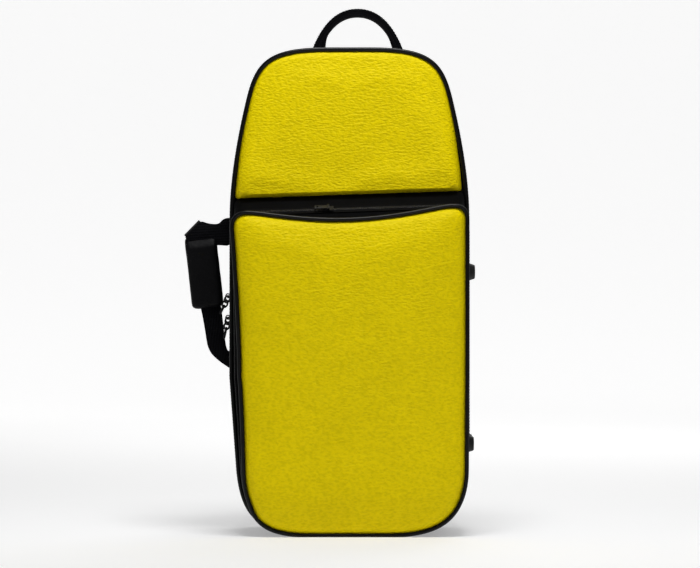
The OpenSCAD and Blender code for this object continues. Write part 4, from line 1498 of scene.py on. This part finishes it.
class CASE_OT_lining(bpy.types.Operator):
    """Plush bed with the instrument's hollow and a compartment, and the lid's quilted padding"""
    bl_idname = "case.lining"
    bl_label = "Lining"

    def execute(self, context):
        low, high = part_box("instrument_bed")

        def depth(x, z):
            x, z = x / MM, z / MM
            inside = max(in_hull(x, z, pair) for pair in HOLLOWS)
            left, right, foot, top = COMPARTMENT
            box = min(x - left, right - x, z - foot, top - z)
            deep = 0.0
            for gap, floor_round in ((inside, 16), (box, 8)):
                if gap > -LIP:
                    rolled = min(1.0, max(0.0, (gap + LIP) / 5.5)) * math.pi / 2
                    sunk = min(1.0, max(0.0, gap + 0.5) / floor_round) * math.pi / 2
                    fall = LIP * (1 - math.cos(rolled)) + 58.0 * math.sin(sunk) ** 0.55
                    deep = max(deep, min(FLOOR_DEPTH, fall))
            edge = 3.0 * (1 - min(1.0, edge_of((x, z)) / 6)) ** 2
            uneven = 0.8 * noise.noise(Vector((x / 26, z / 26, 3)))
            return low.y + 0.4 * MM + (deep + edge + uneven) * MM

        near = loop_distance(case_loop(6.3 * MM))
        edge_of = lambda p: near(Vector((p[0] * MM, 0, p[1] * MM))) / MM
        spare = Vector((5, 0, 5)) * MM
        bed = grid_solid("instrument_bed_plush", low - spare, high + spare, 2.8 * MM, depth, high.y)
        apply_modifier(bed, "SMOOTH", iterations=6, factor=0.5)
        prism = loft("cutter", [at_depth(case_loop(6.3 * MM), y) for y in (-0.02, 0.2)])
        apply_modifier(bed, "BOOLEAN", object=prism, operation="INTERSECT", solver="EXACT")
        bpy.data.objects.remove(prism)
        smooth(bed, 60)
        hand_over(bed, BACK, "plush", "instrument_bed")

        # Lid padding: quilted in diamonds 60 mm wide
        low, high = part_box("lid_padding")
        loop = case_loop(8 * MM)

        def swell(away, x, z):
            edge = 5 * MM * math.sqrt(1 - (1 - min(1, away / (9 * MM))) ** 2)
            seam = abs(math.sin(math.pi * (x - z) / QUILT) * math.sin(math.pi * (x + z) / QUILT))
            return edge + 4.2 * MM * min(1, away / (20 * MM)) * min(1.0, seam * 2.2) ** 0.5

        base = lambda z: -(lid_front(z) + 6.6 * MM)
        pad = crowned("lid_padding_plush", loop, base, swell, (0, 0.14, 0.52), rings=70)
        # Made facing forwards, so it is turned to face the bed
        for vertex in pad.data.vertices:
            vertex.co.y = -vertex.co.y
        outwards(pad)
        smooth(pad, 60)
        hand_over(pad, LID, "plush", "lid_padding")
        return {"FINISHED"}


PAD_CORNER = 18 * MM


class CASE_OT_back(bpy.types.Operator):
    """Back of the case: mesh pads, strap tabs and rings"""
    bl_idname = "case.back"
    bl_label = "Back"

    def execute(self, context):
        crown = context.scene.case_sizes.pad_crown
        for node, channels in (("back_pad_upper", 3), ("back_pad_lower", 3)):
            low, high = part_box(node)
            size = high - low
            middle = (low + high) / 2
            pad = rounded_block(node + "_mesh", (size.x - 2 * MM, 5 * MM, size.z - 2 * MM), 2.2 * MM, 46)
            round_corners(pad, size.x / 2 - 1 * MM, size.z / 2 - 1 * MM, PAD_CORNER)
            pad.data.transform(Matrix.Translation((middle.x, BACK_Y + 2.6 * MM, middle.z)))
            reach = Vector((size.x / 2, 0, size.z / 2))

            def edge(place, middle=middle, reach=reach):
                return min(reach.x - abs(place.x - middle.x), reach.z - abs(place.z - middle.z))

            puff(pad, 3.5, 4 * MM, 7 * MM, edge)
            apply_modifier(pad, "SUBSURF", levels=1, render_levels=1)
            # Sewn channels run across the pad
            for vertex in pad.data.vertices:
                if vertex.co.y < BACK_Y + 2 * MM:
                    vertex.co.y = max(vertex.co.y, BACK_Y + 0.1 * MM)
                    continue
                seam = abs((vertex.co.z - low.z) / size.z * (channels + 1) % 1.0)
                seam = min(seam, 1 - seam) * size.z / (channels + 1)
                inner = edge(vertex.co)
                rise = crown * 0.45 * min(1.0, inner / (16 * MM)) * min(1.0, seam / (9 * MM)) ** 0.6
                vertex.co.y = min(vertex.co.y, BACK_Y + 5.0 * MM) + rise
            smooth(pad, 60)
            hand_over(pad, BACK, "pad_mesh", node)
            hem = rounded_rectangle(middle.x, middle.z, size.x / 2 + 0.5 * MM, size.z / 2 + 0.5 * MM,
                                    PAD_CORNER)
            binding = tube(node + "_binding", at_depth(hem, BACK_Y + 1.2 * MM), 1.9 * MM)
            hand_over(binding, BACK, "pad_mesh", material="shell_fabric")
            cloth_uv(binding, ALONG_X, ALONG_Z)
            for k in range(1, channels + 1):
                z = low.z + size.z * k / (channels + 1)
                seam = [Vector((middle.x + end * (size.x / 2 - 8 * MM), BACK_Y + 5.1 * MM, z))
                        for end in (-1, 1)]
                sew(f"{node}_stitches_{k}", seam, BACK, "pad_mesh")
        tabs = from_node("ring_tabs_webbing", "ring_tabs", 0.6 * MM, 2)
        cloth_uv(tabs, ALONG_X, ALONG_Z)
        hand_over(tabs, BACK, "webbing", "ring_tabs")
        for key, node in (("ring_ul", "ring_upper_left"), ("ring_ur", "ring_upper_right"),
                          ("ring_ll", "ring_lower_left"), ("ring_lr", "ring_lower_right")):
            low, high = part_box(node)
            middle = (low.x + high.x) / 2
            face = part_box("ring_tabs")[1].y + 0.15 * MM - 2.6 * MM
            box = [Vector((middle + x * MM, face, high.z + z * MM))
                   for x, z in ((-9, 4), (9, 4), (9, 20), (-9, 20))]
            ring = from_node(key + "_wire", node, 0, 2)
            hand_over(ring, key, "steel", node)
            sew(key + "_tab_stitches", box, BACK, "webbing", True)
        return {"FINISHED"}


def rounded_rectangle(x, z, half_x, half_z, radius, steps=10):
    """Loop of a rectangle with round corners, as (x, z) points."""
    out = []
    for cx, cz, start in ((1, 1, 0), (-1, 1, 1), (-1, -1, 2), (1, -1, 3)):
        for k in range(steps + 1):
            turn = (start + k / steps) * math.pi / 2
            out.append(Vector((x + cx * (half_x - radius) + radius * math.cos(turn),
                               z + cz * (half_z - radius) + radius * math.sin(turn))))
    return resample(out, 220)


def round_corners(obj, half_x, half_z, radius):
    """Pulls a flat block's four corners in to a radius, seen from the front."""
    for vertex in obj.data.vertices:
        dx = abs(vertex.co.x) - (half_x - radius)
        dz = abs(vertex.co.z) - (half_z - radius)
        if dx > 0 and dz > 0:
            # A square corner mapped to a round one
            grow = max(dx, dz) / math.hypot(dx, dz)
            vertex.co.x = math.copysign(half_x - radius + dx * grow, vertex.co.x)
            vertex.co.z = math.copysign(half_z - radius + dz * grow, vertex.co.z)


PIECES = (CASE_OT_stage, CASE_OT_shells, CASE_OT_piping, CASE_OT_upper_panel, CASE_OT_pocket,
          CASE_OT_main_zip, CASE_OT_sliders, CASE_OT_side_handle, CASE_OT_top_handle, CASE_OT_feet,
          CASE_OT_lining, CASE_OT_back)


class CASE_PT_panel(bpy.types.Panel):
    """Sizes, colours and pieces of the case"""
    bl_idname = "CASE_PT_panel"
    bl_label = "Instrument case"
    bl_space_type = "VIEW_3D"
    bl_region_type = "UI"
    bl_category = "Case"

    def draw(self, context):
        for group in (context.scene.case_sizes, context.scene.case_colours):
            for name in group.__annotations__:
                self.layout.prop(group, name)
        for piece in PIECES:
            self.layout.operator(piece.bl_idname)


CLASSES = (CaseSizes, CaseColours) + PIECES + (CASE_PT_panel,)


def register():
    for made in CLASSES:
        bpy.utils.register_class(made)
    bpy.types.Scene.case_sizes = PointerProperty(type=CaseSizes)
    bpy.types.Scene.case_colours = PointerProperty(type=CaseColours)


def unregister():
    del bpy.types.Scene.case_sizes
    del bpy.types.Scene.case_colours
    for made in reversed(CLASSES):
        bpy.utils.unregister_class(made)


def main():
    register()
    make_materials(bpy.context.scene.case_colours)
    for piece in PIECES:
        group, name = piece.bl_idname.split(".")
        getattr(getattr(bpy.ops, group), name)()


if __name__ == "__main__":
    main()
